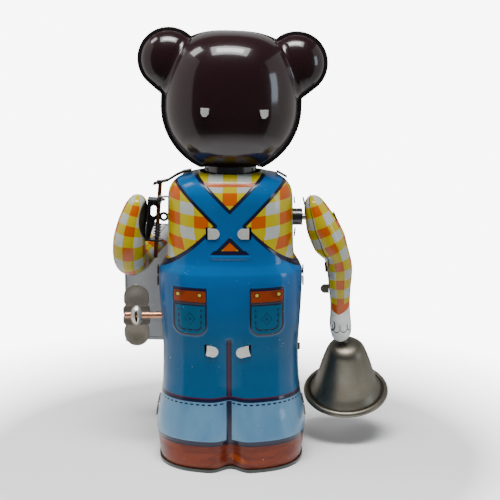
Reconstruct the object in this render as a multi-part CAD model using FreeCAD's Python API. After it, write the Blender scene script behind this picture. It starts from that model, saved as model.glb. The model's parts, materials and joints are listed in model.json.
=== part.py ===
"""Wind-up tin bear that rings a hand bell and holds up a newspaper.

Millimetres, +Z up, the bear faces -Y, origin on the floor at the middle of the body.
The bear's right arm (-X) swings the bell, its left arm (+X) carries the paper on an upright rod,
and the winding key stands out of its left side. Every piece is written to parts/NODE.step.
"""
import FreeCAD
import Part
import math
import os

V = FreeCAD.Vector
os.makedirs("parts", exist_ok=True)

# ---------------------------------------------------------------- driving dimensions
TIN = 0.6                 # tinplate thickness of the pressed shells
PLATE = 0.8               # motor frame plates, gears and brackets
BASE_T = 1.2              # height of the base tray's rolled rim
BODY_TOP = 108.2          # shirt collar, where the neck comes out
SHOULDER_Z = 91.0         # height of both shoulder axes
KEY_Y, KEY_Z = 2.0, 54.1  # winding arbor
KEY_X = 35.0              # middle of the key's wings
PLATE_X = (7.4, -6.5)     # middle planes of the two motor plates
LUG_Z = (87.9, 45.2)      # heights of the lugs that hold the motor in the back shell
LUG_SHIFT = (0.0, 0.6)    # the lower lugs stand a little towards the key side
HEAD_W, HEAD_BACK, HEAD_FRONT = 24.1, 20.0, 19.0
HEAD_Z, HEAD_UP, HEAD_DOWN = 131.5, 27.1, 23.5
HEAD_ROLL = -2.0          # the head sits a little crooked, left ear high
FLANGE = 1.4              # crimped seam round the head
CROWN_FLANGE = 0.2        # the seam is tight at the crown
EAR_X, EAR_Z, EAR_R, EAR_DEPTH = 22.9, 147.9, 10.2, 7.2
NECK_R = 9.5
ROD_X, ROD_Y, ROD_R = 26.7, 0.0, 0.75
ROD_TILT = 4.3            # the hinge rod leans out at its foot, degrees in the XZ plane
AXLE_R = 1.2
SLEEVE_R = 3.1            # shoulder sleeve of the bell arm
MODULE = 0.55             # gear module of the clockwork
BELL_APEX = V(-43.9, -9.2, 40.3)
BELL_TILT = 21.5          # the bell's mouth points down and forward
BELL_ROLL = 2.0           # and a little outwards
STOP_Z = 41.6             # stop lever, through a slot in the right side
WIRE_Y, WIRE_Z = 2.6, 98.9   # push wire of the paper arm, through the left side
ROCKER_Z = 89.6           # pivot height of the rocker that works the push wire

# z, half width, back depth, front depth, superellipse power, depth of the groove between the legs
BODY = [
    (1.2, 26.7, 23.5, 30.0, 2.5, 4.8),
    (3.5, 27.1, 24.0, 31.0, 2.5, 4.7),
    (7.5, 27.5, 24.0, 30.2, 2.5, 4.2),
    (12.0, 27.7, 23.6, 27.2, 2.5, 3.3),
    (18.0, 27.0, 22.3, 23.2, 2.5, 2.2),
    (24.0, 25.9, 20.9, 21.2, 2.5, 1.3),
    (32.0, 25.2, 19.7, 20.0, 2.5, 0.7),
    (42.0, 25.0, 19.3, 20.0, 2.5, 0.25),
    (52.0, 25.5, 19.5, 21.0, 2.5, 0.0),
    (62.0, 26.1, 19.8, 21.6, 2.5, 0.0),
    (69.0, 26.3, 19.8, 20.8, 2.5, 0.0),
    (72.4, 26.1, 19.5, 20.0, 2.5, 0.0),
    (74.6, 24.9, 18.7, 18.9, 2.5, 0.0),
    (76.6, 23.7, 18.0, 18.0, 2.5, 0.0),
    (80.0, 23.2, 17.6, 17.5, 2.5, 0.0),
    (90.0, 23.0, 17.3, 17.2, 2.5, 0.0),
    (97.0, 22.9, 16.8, 16.8, 2.5, 0.0),
    (101.0, 22.5, 16.0, 16.0, 2.5, 0.0),
    (103.4, 21.4, 15.0, 15.0, 2.45, 0.0),
    (105.3, 19.6, 13.9, 13.9, 2.4, 0.0),
    (106.8, 16.8, 12.6, 12.6, 2.3, 0.0),
    (107.8, 13.6, 11.5, 11.5, 2.1, 0.0),
    (BODY_TOP, 11.2, 10.8, 10.8, 2.0, 0.0),
]
GROOVE_W = 3.8            # half width of the groove between the legs
RING = 40                 # points round one body section

# Arm centrelines: x, y, z, half width, half depth
BELL_ARM = [
    (-29.5, -0.5, 98.8, 1.4, 1.8), (-30.2, -0.5, 96.7, 3.3, 4.6), (-32.2, -0.5, 91.4, 5.1, 6.4),
    (-34.1, -1.0, 86.8, 6.2, 7.0), (-36.4, -1.5, 81.6, 6.4, 6.8), (-39.4, -2.2, 75.9, 4.9, 5.7),
    (-40.7, -3.2, 70.4, 4.4, 4.8), (-40.9, -5.0, 62.0, 4.1, 4.4), (-41.2, -6.5, 55.5, 3.8, 4.1),
    (-41.3, -7.2, 52.2, 3.9, 4.2), (-41.5, -8.0, 48.4, 4.2, 4.4), (-41.9, -8.7, 44.4, 3.9, 4.1),
    (-42.4, -9.1, 42.0, 2.6, 2.8), (-42.7, -9.2, 41.1, 1.0, 1.1),
]
PAPER_ARM = [
    (33.6, 0.3, 99.4, 1.4, 1.6), (33.9, 0.3, 97.2, 3.3, 4.2), (35.2, 0.2, 92.5, 4.6, 6.0),
    (36.6, 0.0, 87.0, 5.4, 6.8), (37.4, -0.3, 81.5, 6.0, 7.0), (37.6, -2.0, 76.3, 6.1, 6.4),
    (37.1, -5.6, 73.0, 5.8, 5.4), (35.6, -10.2, 72.4, 5.1, 4.8), (33.0, -15.2, 74.0, 4.4, 4.4),
    (30.4, -19.2, 76.4, 3.9, 4.2), (28.4, -22.0, 78.5, 4.2, 4.3), (26.8, -24.3, 80.4, 3.9, 4.0),
    (25.8, -25.6, 81.6, 2.4, 2.6), (25.4, -26.1, 82.1, 0.9, 1.0),
]


# ---------------------------------------------------------------- helpers
def save(node, *solids):
    """Writes one node from its solids, which stay separate where they don't touch."""
    flat = [s for shape in solids for s in shape.Solids]
    shape = flat[0] if len(flat) == 1 else Part.makeCompound(flat)
    bad = [s for s in flat if not s.isValid() or s.Volume <= 0]
    shape.exportStep("parts/%s.step" % node)
    box = shape.BoundBox
    print("%-18s solids %2d  volume %8.1f  z %6.1f..%6.1f%s"
          % (node, len(flat), shape.Volume, box.ZMin, box.ZMax, "  INVALID" if bad else ""))


def fuse(*shapes):
    out = shapes[0]
    for shape in shapes[1:]:
        out = out.fuse(shape)
    return out.removeSplitter()


def box(x0, x1, y0, y1, z0, z1):
    return Part.makeBox(x1 - x0, y1 - y0, z1 - z0, V(x0, y0, z0))


def rod(a, b, r):
    """A cylinder of radius r from point a to point b."""
    a, b = V(*a), V(*b)
    return Part.makeCylinder(r, (b - a).Length, a, b - a)


def ring(a, b, outer, inner):
    return rod(a, b, outer).cut(rod(a, b, inner))


def bspline(points, closed=False):
    curve = Part.BSplineCurve()
    curve.interpolate(Points=[V(*p) for p in points], PeriodicFlag=closed)
    return curve.toShape()


def polygon(points):
    return Part.Face(Part.makePolygon([V(*p) for p in points] + [V(*points[0])]))


def loft(wires):
    return Part.makeLoft(wires, True, False)


def turned(shape, centre, axis, degrees):
    out = shape.copy()
    out.rotate(V(*centre), V(*axis), degrees)
    return out


def wire_path(points, r, bend):
    """A round wire through the points, each corner rounded to the bend radius."""
    pts = [V(*p) for p in points]
    edges, last = [], pts[0]
    for before, corner, after in zip(pts, pts[1:], pts[2:]):
        back, on = (before - corner).normalize(), (after - corner).normalize()
        half = back.getAngle(on) / 2
        reach = bend / math.tan(half)
        mid = (back + on).normalize() * (bend / math.sin(half) - bend)
        start, end = corner + back * reach, corner + on * reach
        edges += [Part.LineSegment(last, start).toShape(), Part.Arc(start, corner + mid, end).toShape()]
        last = end
    edges.append(Part.LineSegment(last, pts[-1]).toShape())
    path = Part.Wire(edges)
    disc = Part.Wire(Part.Circle(pts[0], pts[1] - pts[0], r).toShape())
    return path.makePipeShell([disc], True, False)


# ---------------------------------------------------------------- body shells
def body_depth(x, w, depth, power, groove):
    """Distance of the outline from the seam plane at width x, with the groove between the legs."""
    u = min(abs(x) / w, 1.0)
    return depth * (1 - u ** power) ** (1 / power) - groove * math.exp(-(x / GROOVE_W) ** 2)


def body_section(z, w, back, front, power, groove, shrink=0.0, grow=0.0):
    """Closed outline of the body at height z, drawn in by shrink."""
    w, back, front = w - shrink + grow, back - shrink + grow, front - shrink + grow
    points = []
    for i in range(RING):
        t = 2 * math.pi * i / RING
        c, s = math.cos(t), math.sin(t)
        x = w * math.copysign(abs(c) ** (2 / power), c)
        side = back if s >= 0 else front
        y = side * abs(s) ** (2 / power) - groove * math.exp(-(x / GROOVE_W) ** 2) * abs(s)
        points.append((x, math.copysign(y, s), z))
    return Part.Wire(bspline(points, closed=True))


def interpolated(z):
    """The body's section values at any height, linear between the listed ones."""
    for low, high in zip(BODY, BODY[1:]):
        if low[0] <= z <= high[0]:
            t = (z - low[0]) / (high[0] - low[0])
            return [a + t * (b - a) for a, b in zip(low, high)]
    return list(BODY[-1] if z > BODY_TOP else BODY[0])


def back_y(x, z):
    _, w, back, _, power, groove = interpolated(z)
    return body_depth(x, w, back, power, groove)


def body_solid(shrink):
    """The body filled in; shrink 0 is the outside and TIN is the hollow."""
    wires = []
    for z, w, back, front, power, groove in BODY:
        drop = 0.0
        if shrink and z > 97:
            drop = shrink * min(1.0, (z - 97) / (BODY_TOP - 97)) ** 0.7
        wires.append(body_section(z - drop, w, back, front, power, groove, shrink=shrink))
    return loft(wires)


def body_shells():
    """Front and back pressings, meeting at the side seams, with their slots and holes."""
    hollow = fuse(body_solid(TIN), box(-8, 8, -8, 8, 1, 1.5))
    shell = body_solid(0.0).cut(hollow)
    shell = shell.cut(rod((0, 0, BODY_TOP - 3), (0, 0, BODY_TOP + 3), NECK_R + 0.15))
    shell = shell.cut(rod((-30, 0, SHOULDER_Z), (-18, 0, SHOULDER_Z), SLEEVE_R + 0.05))
    shell = shell.cut(rod((18, 0, SHOULDER_Z), (30, 0, SHOULDER_Z), 1.15))
    shell = shell.cut(rod((20, KEY_Y, KEY_Z), (30, KEY_Y, KEY_Z), 2.2))
    shell = shell.cut(rod((18, WIRE_Y, WIRE_Z), (30, WIRE_Y, WIRE_Z), 1.1))
    shell = shell.cut(box(-30, -20, -0.6, 0.6, STOP_Z - 3.0, STOP_Z + 3.0))
    for x in PLATE_X:
        for z, shift in zip(LUG_Z, LUG_SHIFT):
            x0, x1 = (x - 0.5, x + 1.2) if x > 0 else (x - 1.2, x + 0.5)
            shell = shell.cut(box(x0 + min(shift, 0.2), x1 + shift, 10, 30, z - 2.3, z + 2.3))
    front = shell.common(box(-40, 40, -40, 0, -5, 120))
    back = shell.common(box(-40, 40, 0, 40, -5, 120))
    return front, back


def base_tray():
    """Rolled base tray: floor, low wall inside the shells, and a rim that they stand on."""
    z, w, back, front, power, groove = BODY[0]
    def slab(shrink, z0, z1):
        low = Part.Face(body_section(z0, w, back, front, power, groove, shrink=shrink))
        return low.extrude(V(0, 0, z1 - z0))
    rim = slab(-0.35, 0, BASE_T).cut(slab(1.6, -0.1, BASE_T + 0.1))
    floor = slab(1.0, 0, 0.6)
    wall = slab(TIN + 0.12, BASE_T - 0.1, 4.2).cut(slab(TIN + 0.62, BASE_T - 0.2, 4.3))
    return fuse(rim, floor, wall)


# ---------------------------------------------------------------- head
def head_outline(w, up, down, steps=15):
    """Half outline (x, z) of the head from its foot to its crown, round HEAD_Z."""
    points = []
    for i in range(steps + 1):
        t = math.pi * (i / steps - 0.5)
        c, s = math.cos(t), math.sin(t)
        power, height = (2.8, up) if s > 0 else (2.0, down)
        points.append((w * abs(c) ** (2 / power), HEAD_Z + height * math.copysign(abs(s) ** (2 / power), s)))
    return points


def half_dome(w, depth, up, down):
    """The head filled in, as a surface of revolution squeezed front to back."""
    points = [(max(x, 0.0), 0, z) for x, z in head_outline(w, up, down)]
    curve = bspline(points)
    axis = Part.LineSegment(V(*points[-1]), V(*points[0])).toShape()
    face = Part.Face(Part.Wire([curve, axis]))
    dome = face.revolve(V(0, 0, 0), V(0, 0, 1), 360)
    squeeze = FreeCAD.Matrix()
    squeeze.A22 = depth / w
    return dome.transformGeometry(squeeze)


def ball(centre, radii):
    out = Part.makeSphere(1.0)
    m = FreeCAD.Matrix()
    m.A11, m.A22, m.A33 = radii
    out = out.transformGeometry(m)
    out.translate(V(*centre))
    return out


def head_filled(depth, shrink, front):
    out = half_dome(HEAD_W - shrink, depth - shrink, HEAD_UP - shrink, HEAD_DOWN - shrink)
    r = EAR_R - shrink
    for side in (-1, 1):
        out = out.fuse(ball((side * EAR_X, 0, EAR_Z), (r, EAR_DEPTH - shrink, r)))
    if front:
        out = out.fuse(ball((0, -15.0, 122.5), (10.5 - shrink, 9.5 - shrink, 8.6 - shrink)))
    return out


def seam_plate(y0, y1):
    """The flat flange round head and ears, between two depths."""
    points = head_outline(HEAD_W + FLANGE, HEAD_UP + CROWN_FLANGE, HEAD_DOWN + FLANGE)
    half = bspline([(x, y0, z) for x, z in points])
    other = bspline([(-x, y0, z) for x, z in points])
    plate = Part.Face(Part.Wire(Part.__sortEdges__([half, other]))).extrude(V(0, y1 - y0, 0))
    for side in (-1, 1):
        plate = plate.fuse(rod((side * EAR_X, y0, EAR_Z), (side * EAR_X, y1, EAR_Z), EAR_R + 1.2))
    return plate


def head_half(front):
    depth = HEAD_FRONT if front else HEAD_BACK
    filled, hollow = head_filled(depth, 0.0, front), head_filled(depth, TIN, front)
    side = box(-60, 60, -60, 0, 90, 180) if front else box(-60, 60, 0, 60, 90, 180)
    plate = seam_plate(-0.55, 0.0) if front else seam_plate(0.0, 0.55)
    half = filled.common(side).fuse(plate).cut(hollow)
    half = half.cut(rod((0, 0, 100), (0, 0, 113.0), NECK_R + 0.8))
    half = half.cut(box(-60, 60, -60, 60, 90, 109.6))
    if not front:
        for x in HEAD_TAB_X:
            half = half.cut(box(x - 1.7, x + 1.7, 10, 30, HEAD_TAB_Z - 0.45, HEAD_TAB_Z + 0.45))
    return half.removeSplitter()


HEAD_TAB_X, HEAD_TAB_Z = (-11.7, 8.9), 132.2


def head_bracket():
    """Strap inside the head; two lugs pass through the back shell and are bent down."""
    bar = box(-13.3, 10.6, 14.0, 14.7, HEAD_TAB_Z - 2.6, HEAD_TAB_Z + 0.3)
    arm = box(-3.0, 3.0, -3.2, 14.4, HEAD_TAB_Z - 2.6, HEAD_TAB_Z - 1.9)
    out = fuse(bar, arm)
    for x in HEAD_TAB_X:
        y = HEAD_BACK * math.sqrt(1 - (x / HEAD_W) ** 2)
        lug = box(x - 1.45, x + 1.45, 14.0, y + 0.95, HEAD_TAB_Z - 0.3, HEAD_TAB_Z + 0.3)
        slope = math.degrees(math.atan2(abs(x) * HEAD_BACK ** 2, y * HEAD_W ** 2))
        tab = polygon([(-1.45, 0, 0.3), (1.45, 0, 0.3), (1.45, 0, -1.3), (0.7, 0, -2.6), (-0.5, 0, -2.6),
                       (-1.45, 0, -1.6)]).extrude(V(0, 0.5, 0))
        tab = turned(tab, (0, 0, 0), (0, 0, 1), -math.copysign(slope, x) * 0.9)
        tab.translate(V(x, y + 0.75, HEAD_TAB_Z))
        out = out.fuse(lug).fuse(tab)
    return out.cut(rod((0, 0, 120), (0, 0, 140), NECK_SHAFT_R))


NECK_SHAFT_R = 1.5


# ---------------------------------------------------------------- arms
def arm_frame(path, i):
    """Centre and the two cross directions of section i of an arm."""
    here = V(*path[i][:3])
    before, after = V(*path[max(i - 1, 0)][:3]), V(*path[min(i + 1, len(path) - 1)][:3])
    along = (after - before).normalize()
    depth = along.cross(V(1, 0, 0)).normalize()
    across = depth.cross(along).normalize()
    return here, across, depth


def arm_solid(path, shrink):
    wires = []
    for i, (_, _, _, a, b) in enumerate(path):
        if min(a, b) - shrink < 0.3:
            continue
        here, across, depth = arm_frame(path, i)
        points = []
        for k in range(20):
            t = 2 * math.pi * k / 20
            points.append(here + across * ((a - shrink) * math.cos(t)) + depth * ((b - shrink) * math.sin(t)))
        wires.append(Part.Wire(bspline(points, closed=True)))
    return loft(wires)


def arm_halves(path, seam, side):
    """Outer and inner pressings of an arm; seam is how far the joint lies from the centreline."""
    shell = arm_solid(path, 0.0).cut(arm_solid(path, TIN))
    line = []
    for i in range(len(path)):
        here, across, _ = arm_frame(path, i)
        shift = across * (seam * path[i][3]) if across.x * side > 0 else across * (-seam * path[i][3])
        line.append((here.x - shift.x, 0, here.z - shift.z))
    return shell, line


def split_by_x(shell, curve, side):
    """Cuts a shell with the wall that stands on curve, a list of (x, z), along Y."""
    points = [(x, -60, z) for x, z in curve]
    top, foot = points[0], points[-1]
    far = side * 90
    wire = Part.Wire([bspline(points)] + [Part.LineSegment(V(*a), V(*b)).toShape() for a, b in (
        (foot, (foot[0], -60, foot[2] - 12)), ((foot[0], -60, foot[2] - 12), (far, -60, foot[2] - 12)),
        ((far, -60, foot[2] - 12), (far, -60, top[2] + 12)), ((far, -60, top[2] + 12), (top[0], -60, top[2] + 12)),
        ((top[0], -60, top[2] + 12), top))])
    tool = Part.Face(wire).extrude(V(0, 120, 0))
    return shell.common(tool), shell.cut(tool)


# ---------------------------------------------------------------- clockwork
def gear(teeth, x0, x1, centre, bore, phase=0.0, holes=0):
    """Involute spur gear about an X axis through centre (y, z)."""
    pitch = MODULE * teeth / 2
    base = pitch * math.cos(math.radians(20))
    tip, root = pitch + 0.7 * MODULE, pitch - 1.0 * MODULE
    inv = lambda r: math.tan(math.acos(base / r)) - math.acos(base / r)
    half_pitch = math.pi / (2 * teeth) - 0.07 / pitch
    points = []
    for k in range(teeth):
        mid = phase + 2 * math.pi * k / teeth
        flank = []
        for r in (root, max(root, base + 0.01), (pitch + base) / 2 if base > root else pitch, pitch, tip):
            a = half_pitch + inv(pitch) - inv(max(r, base + 1e-6))
            if not flank or r > flank[-1][0] + 1e-4:
                flank.append((r, a))
        tooth = [(r, mid - a) for r, a in flank] + [(r, mid + a) for r, a in reversed(flank)]
        points += [(x0, centre[0] + r * math.sin(a), centre[1] + r * math.cos(a)) for r, a in tooth]
    blank = polygon(points).extrude(V(x1 - x0, 0, 0))
    blank = blank.cut(rod((x0 - 1, *centre), (x1 + 1, *centre), bore))
    for k in range(holes):
        a = 2 * math.pi * k / holes
        at = (centre[0] + 0.6 * pitch * math.sin(a), centre[1] + 0.6 * pitch * math.cos(a))
        blank = blank.cut(rod((x0 - 1, *at), (x1 + 1, *at), 0.2 * pitch))
    return blank


def mesh_phase(a, b, na, nb, phase_a):
    """Phase of gear b that puts its tooth in the gap of gear a along the line of centres."""
    to_b = math.atan2(b[0] - a[0], b[1] - a[1])
    turn_a = (phase_a - to_b) * na
    to_a = to_b + math.pi
    return to_a - (turn_a + math.pi) / nb * 1.0


def step_from(centre, teeth_a, teeth_b, degrees):
    """Next arbor's centre at gear distance from centre; degrees from +Z towards +Y."""
    d = MODULE * (teeth_a + teeth_b) / 2 + 0.06
    a = math.radians(degrees)
    return (centre[0] + d * math.sin(a), centre[1] + d * math.cos(a))


KEY_C = (KEY_Y, KEY_Z)
MAIN_T, PINION_T, SECOND_T, THIRD_T = 48, 12, 36, 30
SECOND_C = step_from(KEY_C, MAIN_T, PINION_T, -14)
THIRD_C = step_from(SECOND_C, SECOND_T, PINION_T, 27)
FLY_C = step_from(THIRD_C, THIRD_T, PINION_T, -68)


def motor_plate(x, second_holes):
    """One frame plate with its arbor holes and two lugs bent over outside the back shell."""
    outline = [(-13, 38.5), (13.6, 38.5), (14.2, 43), (14.2, 90), (9.5, 98.5), (-9.5, 98.5), (-14.2, 88), (-14.2, 43)]
    plate = polygon([(x - PLATE / 2, y, z) for y, z in outline]).extrude(V(PLATE, 0, 0))
    for c, r in ((KEY_C, 1.32), (SECOND_C, 0.86), (THIRD_C, 0.86), (FLY_C, 0.66), ((0, SHOULDER_Z), AXLE_R + 0.06)):
        plate = plate.cut(rod((x - 2, *c), (x + 2, *c), r))
    for y, z in PILLARS:
        plate = plate.cut(rod((x - 2, y, z), (x + 2, y, z), 0.8))
    for y, z in second_holes:
        plate = plate.cut(rod((x - 2, y, z), (x + 2, y, z), 2.2))
    inward = -math.copysign(1, x)
    for z, sag, shift in zip(LUG_Z, (0.0, -14.0), LUG_SHIFT):
        y = back_y(x, z) + 0.25
        neck = box(x - PLATE / 2 + shift / 3, x + PLATE / 2 + shift, 12, y + 0.5, z - 1.9, z + 1.9)
        root = x + (shift if x > 0 else 0.0)
        x0, x1 = sorted((root - inward * PLATE / 2, x + shift + inward * 1.9))
        tab = fuse(box(x0, x1, y, y + 0.5, z - 1.9, z + 1.9),
                   rod((x + shift + inward * 1.9, y, z), (x + shift + inward * 1.9, y + 0.5, z), 1.9))
        tab = turned(tab, (x, y, z), (0, 1, 0), -sag * inward)
        rise = back_y(x + inward * 3.0, z) - back_y(x, z)
        tab = turned(tab, (x, y, z), (0, 0, 1), math.degrees(math.atan2(rise, 3.0)) * inward)
        plate = plate.fuse(neck).fuse(tab)
    return plate.removeSplitter()


PILLARS = ((-11.2, 41.2), (11.8, 41.0), (12.2, 70.0), (10.6, 93.0), (-12.2, 79.0))


def mainspring():
    """Spiral spring strip, from the arbor to its anchor pillar."""
    r0, r1, turns, t = 2.3, 10.6, 6.5, 0.32
    steps = int(turns * 12)
    rail = []
    for side in (0, 1):
        rail.append([])
        for i in range(steps + 1):
            a = 2 * math.pi * turns * i / steps
            r = r0 + (r1 - r0) * i / steps + side * t
            rail[side].append((-5.2, KEY_Y + r * math.sin(a), KEY_Z + r * math.cos(a)))
    inner, outer = bspline(rail[0]), bspline(rail[1])
    caps = [Part.LineSegment(V(*rail[0][k]), V(*rail[1][k])).toShape() for k in (0, -1)]
    strip = Part.Face(Part.Wire(Part.__sortEdges__([inner, outer] + caps)))
    return strip.extrude(V(6.6, 0, 0))


# ---------------------------------------------------------------- build: body
front_shell, back_shell = body_shells()
save("body_front", front_shell)
save("body_back", back_shell)
save("base_tray", base_tray())


def side_tabs():
    """Small tabs of the front pressing, folded over the side seams at waist and cuffs."""
    out = []
    for side in (-1, 1):
        for z in (71.2, 67.0):
            w = interpolated(z)[1]
            out.append(box(side * w + (0.4 if side > 0 else -0.9), side * w + (0.9 if side > 0 else -0.4),
                           -1.6, 1.8, z - 1.5, z + 1.5))
        for z in (21.0, 16.6):
            w = interpolated(z)[1]
            lean = 12 if z > 18 else 7
            tab = box(side * w + (0.45 if side > 0 else -0.95), side * w + (0.95 if side > 0 else -0.45),
                      -1.6, 1.8, z - 1.6, z + 1.6)
            out.append(turned(tab, (side * w, 0, z), (0, 1, 0), -side * lean))
    for z, tall, lean_out in ((97.2, 2.2, 4), (85.4, 2.8, -6)):
        w = interpolated(z)[1]
        tab = box(-w - 0.8, -w - 0.35, -1.3, 1.5, z - tall / 2, z + tall / 2)
        out.append(turned(tab, (-w, 0, z), (0, 1, 0), lean_out))
    tab = box(-20.6, -16.4, -1.8, 2.0, 0.35, 0.85)
    tab.translate(V(0, 0, 106.4))
    out.append(turned(tab, (-18.5, 0, 106.4), (0, 1, 0), -30))
    return out


save("seam_tabs", *side_tabs())

neck = ring((0, 0, 104.5), (0, 0, 110.6), NECK_R, NECK_R - TIN)
neck_lug = box(-1.1, 1.1, NECK_R - 0.3, NECK_R + 0.3, BODY_TOP + 0.2, BODY_TOP + 1.3)
collar = ring((0, 0, 104.0), (0, 0, 104.6), NECK_R + 1.6, NECK_R - 0.4)
save("neck_tube", fuse(neck, neck_lug, collar))

# ---------------------------------------------------------------- build: motor frame
save("motor_plate_left", motor_plate(PLATE_X[0], ((-7.0, 74.0), (0.5, 63.0))))
save("motor_plate_right", motor_plate(PLATE_X[1], ((-7.0, 66.0), (8.0, 75.0))))
pillars = []
for y, z in PILLARS:
    low, high = PLATE_X[1] - PLATE / 2, PLATE_X[0] + PLATE / 2
    pillars.append(fuse(rod((low - 0.7, y, z), (high + 0.7, y, z), 0.8),
                        rod((low + PLATE, y, z), (high - PLATE, y, z), 1.3)))
save("motor_pillars", *pillars)
bridge = box(PLATE_X[1] - 1.2, PLATE_X[0] + 1.2, -5, 5, 98.5, 99.3)
bridge = fuse(bridge, rod((0, 0, 99.3), (0, 0, 101.6), 2.6)).cut(rod((0, 0, 95), (0, 0, 105), NECK_SHAFT_R + 0.05))
save("neck_bearing", bridge)
save("mainspring", mainspring())

# ---------------------------------------------------------------- build: key and arbor
key_shaft = rod((PLATE_X[1] - 1.4, *KEY_C), (39.3, *KEY_C), 1.25)
save("key_shaft", key_shaft)


def key_wings():
    """Stamped butterfly key with a pressed-out strap over the shaft."""
    half = 0.35
    wing = []
    for side in (-1, 1):
        disc = rod((KEY_X, KEY_Y - half, KEY_Z + side * 7.1), (KEY_X, KEY_Y + half, KEY_Z + side * 7.1), 4.65)
        z0, z1 = sorted((KEY_Z + side * 1.9, KEY_Z + side * 7.1))
        wing += [disc, box(KEY_X - 4.65, KEY_X + 4.65, KEY_Y - half, KEY_Y + half, z0, z1)]
        z0, z1 = sorted((KEY_Z + side * 1.2, KEY_Z + side * 3.4))
        wing.append(box(KEY_X - 5.0, KEY_X + 5.0, KEY_Y - half, KEY_Y + half, z0, z1))
    strap = rod((KEY_X - 2.0, *KEY_C), (KEY_X + 2.0, *KEY_C), 2.5)
    plate = fuse(*wing, box(KEY_X - 4.9, KEY_X + 4.9, KEY_Y - half, KEY_Y + half, KEY_Z - 1.5, KEY_Z + 1.5), strap)
    return plate.cut(rod((KEY_X - 9, *KEY_C), (KEY_X + 9, *KEY_C), 1.25))


save("key_wings", key_wings())


def ratchet_wheel():
    """Saw-toothed click wheel on the winding arbor."""
    points, n = [], 16
    for k in range(n):
        a, b = 2 * math.pi * k / n, 2 * math.pi * (k + 0.92) / n
        points += [(4.6, KEY_Y + 3.2 * math.sin(a), KEY_Z + 3.2 * math.cos(a)),
                   (4.6, KEY_Y + 4.3 * math.sin(b), KEY_Z + 4.3 * math.cos(b))]
    wheel = polygon(points).extrude(V(0.8, 0, 0))
    return wheel.cut(rod((3, *KEY_C), (7, *KEY_C), 1.25))


save("ratchet_wheel", ratchet_wheel())
save("main_gear", gear(MAIN_T, 5.8, 6.6, KEY_C, 1.31, holes=5))

# The click sits on the main gear's web and drops into the ratchet wheel.
click_pin = (KEY_Y + 7.4, KEY_Z - 2.6)
click = polygon([(4.7, KEY_Y + 8.2, KEY_Z - 4.4), (4.7, KEY_Y + 9.0, KEY_Z - 1.6), (4.7, KEY_Y + 6.2, KEY_Z + 0.6),
                 (4.7, KEY_Y + 4.75, KEY_Z + 1.1), (4.7, KEY_Y + 5.5, KEY_Z - 1.4)]).extrude(V(0.7, 0, 0))
click = click.cut(rod((3, *click_pin), (8, *click_pin), 0.55))
save("click_pawl", click)
save("click_pin", fuse(rod((4.2, *click_pin), (5.8, *click_pin), 0.5), rod((4.2, *click_pin), (4.6, *click_pin), 0.9)))

phase2 = mesh_phase(KEY_C, SECOND_C, MAIN_T, PINION_T, 0.0)
low, high = PLATE_X[1] - PLATE / 2, PLATE_X[0] + PLATE / 2
save("second_arbor", rod((low - 0.9, *SECOND_C), (high + 0.9, *SECOND_C), 0.8))
save("second_pinion", gear(PINION_T, 5.3, 6.9, SECOND_C, 0.8, phase=phase2))
save("second_gear", gear(SECOND_T, 3.4, 4.2, SECOND_C, 0.8, holes=4))
phase3 = mesh_phase(SECOND_C, THIRD_C, SECOND_T, PINION_T, 0.0)
save("third_arbor", rod((low - 0.9, *THIRD_C), (high + 2.6, *THIRD_C), 0.8))
save("third_pinion", gear(PINION_T, 3.1, 4.9, THIRD_C, 0.8, phase=phase3))
save("third_gear", gear(THIRD_T, 1.2, 2.0, THIRD_C, 0.8, holes=4))
phase4 = mesh_phase(THIRD_C, FLY_C, THIRD_T, PINION_T, 0.0)
save("fly_arbor", rod((low - 0.9, *FLY_C), (high + 0.9, *FLY_C), 0.6))
save("fly_pinion", gear(PINION_T, 0.7, 2.5, FLY_C, 0.6, phase=phase4))
fly = box(-3.6, -2.0, FLY_C[0] - 3.0, FLY_C[0] + 3.0, FLY_C[1] - 0.7, FLY_C[1] + 0.7)
fly = fuse(fly, box(-3.6, -2.0, FLY_C[0] - 3.0, FLY_C[0] - 1.8, FLY_C[1] - 1.8, FLY_C[1] + 1.8),
           box(-3.6, -2.0, FLY_C[0] + 1.8, FLY_C[0] + 3.0, FLY_C[1] - 1.8, FLY_C[1] + 1.8))
save("fly_weight", fly.cut(rod((-5, *FLY_C), (0, *FLY_C), 0.6)))

# Crank disc on the third arbor, and the face cam outside the left plate that works the rocker.
CRANK_PIN = (THIRD_C[0] + 2.4, THIRD_C[1])
crank = fuse(rod((-5.9, *THIRD_C), (-5.1, *THIRD_C), 3.6), rod((-5.1, *CRANK_PIN), (-4.3, *CRANK_PIN), 0.5))
save("crank_disc", crank.cut(rod((-7, *THIRD_C), (-4, *THIRD_C), 0.8)))
cam = rod((9.4, *THIRD_C), (10.2, *THIRD_C), 2.8)
ramp = rod((10.2, *THIRD_C), (11.2, *THIRD_C), 2.8).common(
    box(10, 12, THIRD_C[0] - 3, THIRD_C[0] + 3, THIRD_C[1], THIRD_C[1] + 3))
save("paper_cam", fuse(cam, ramp).cut(rod((8, *THIRD_C), (12, *THIRD_C), 0.8)))

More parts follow.
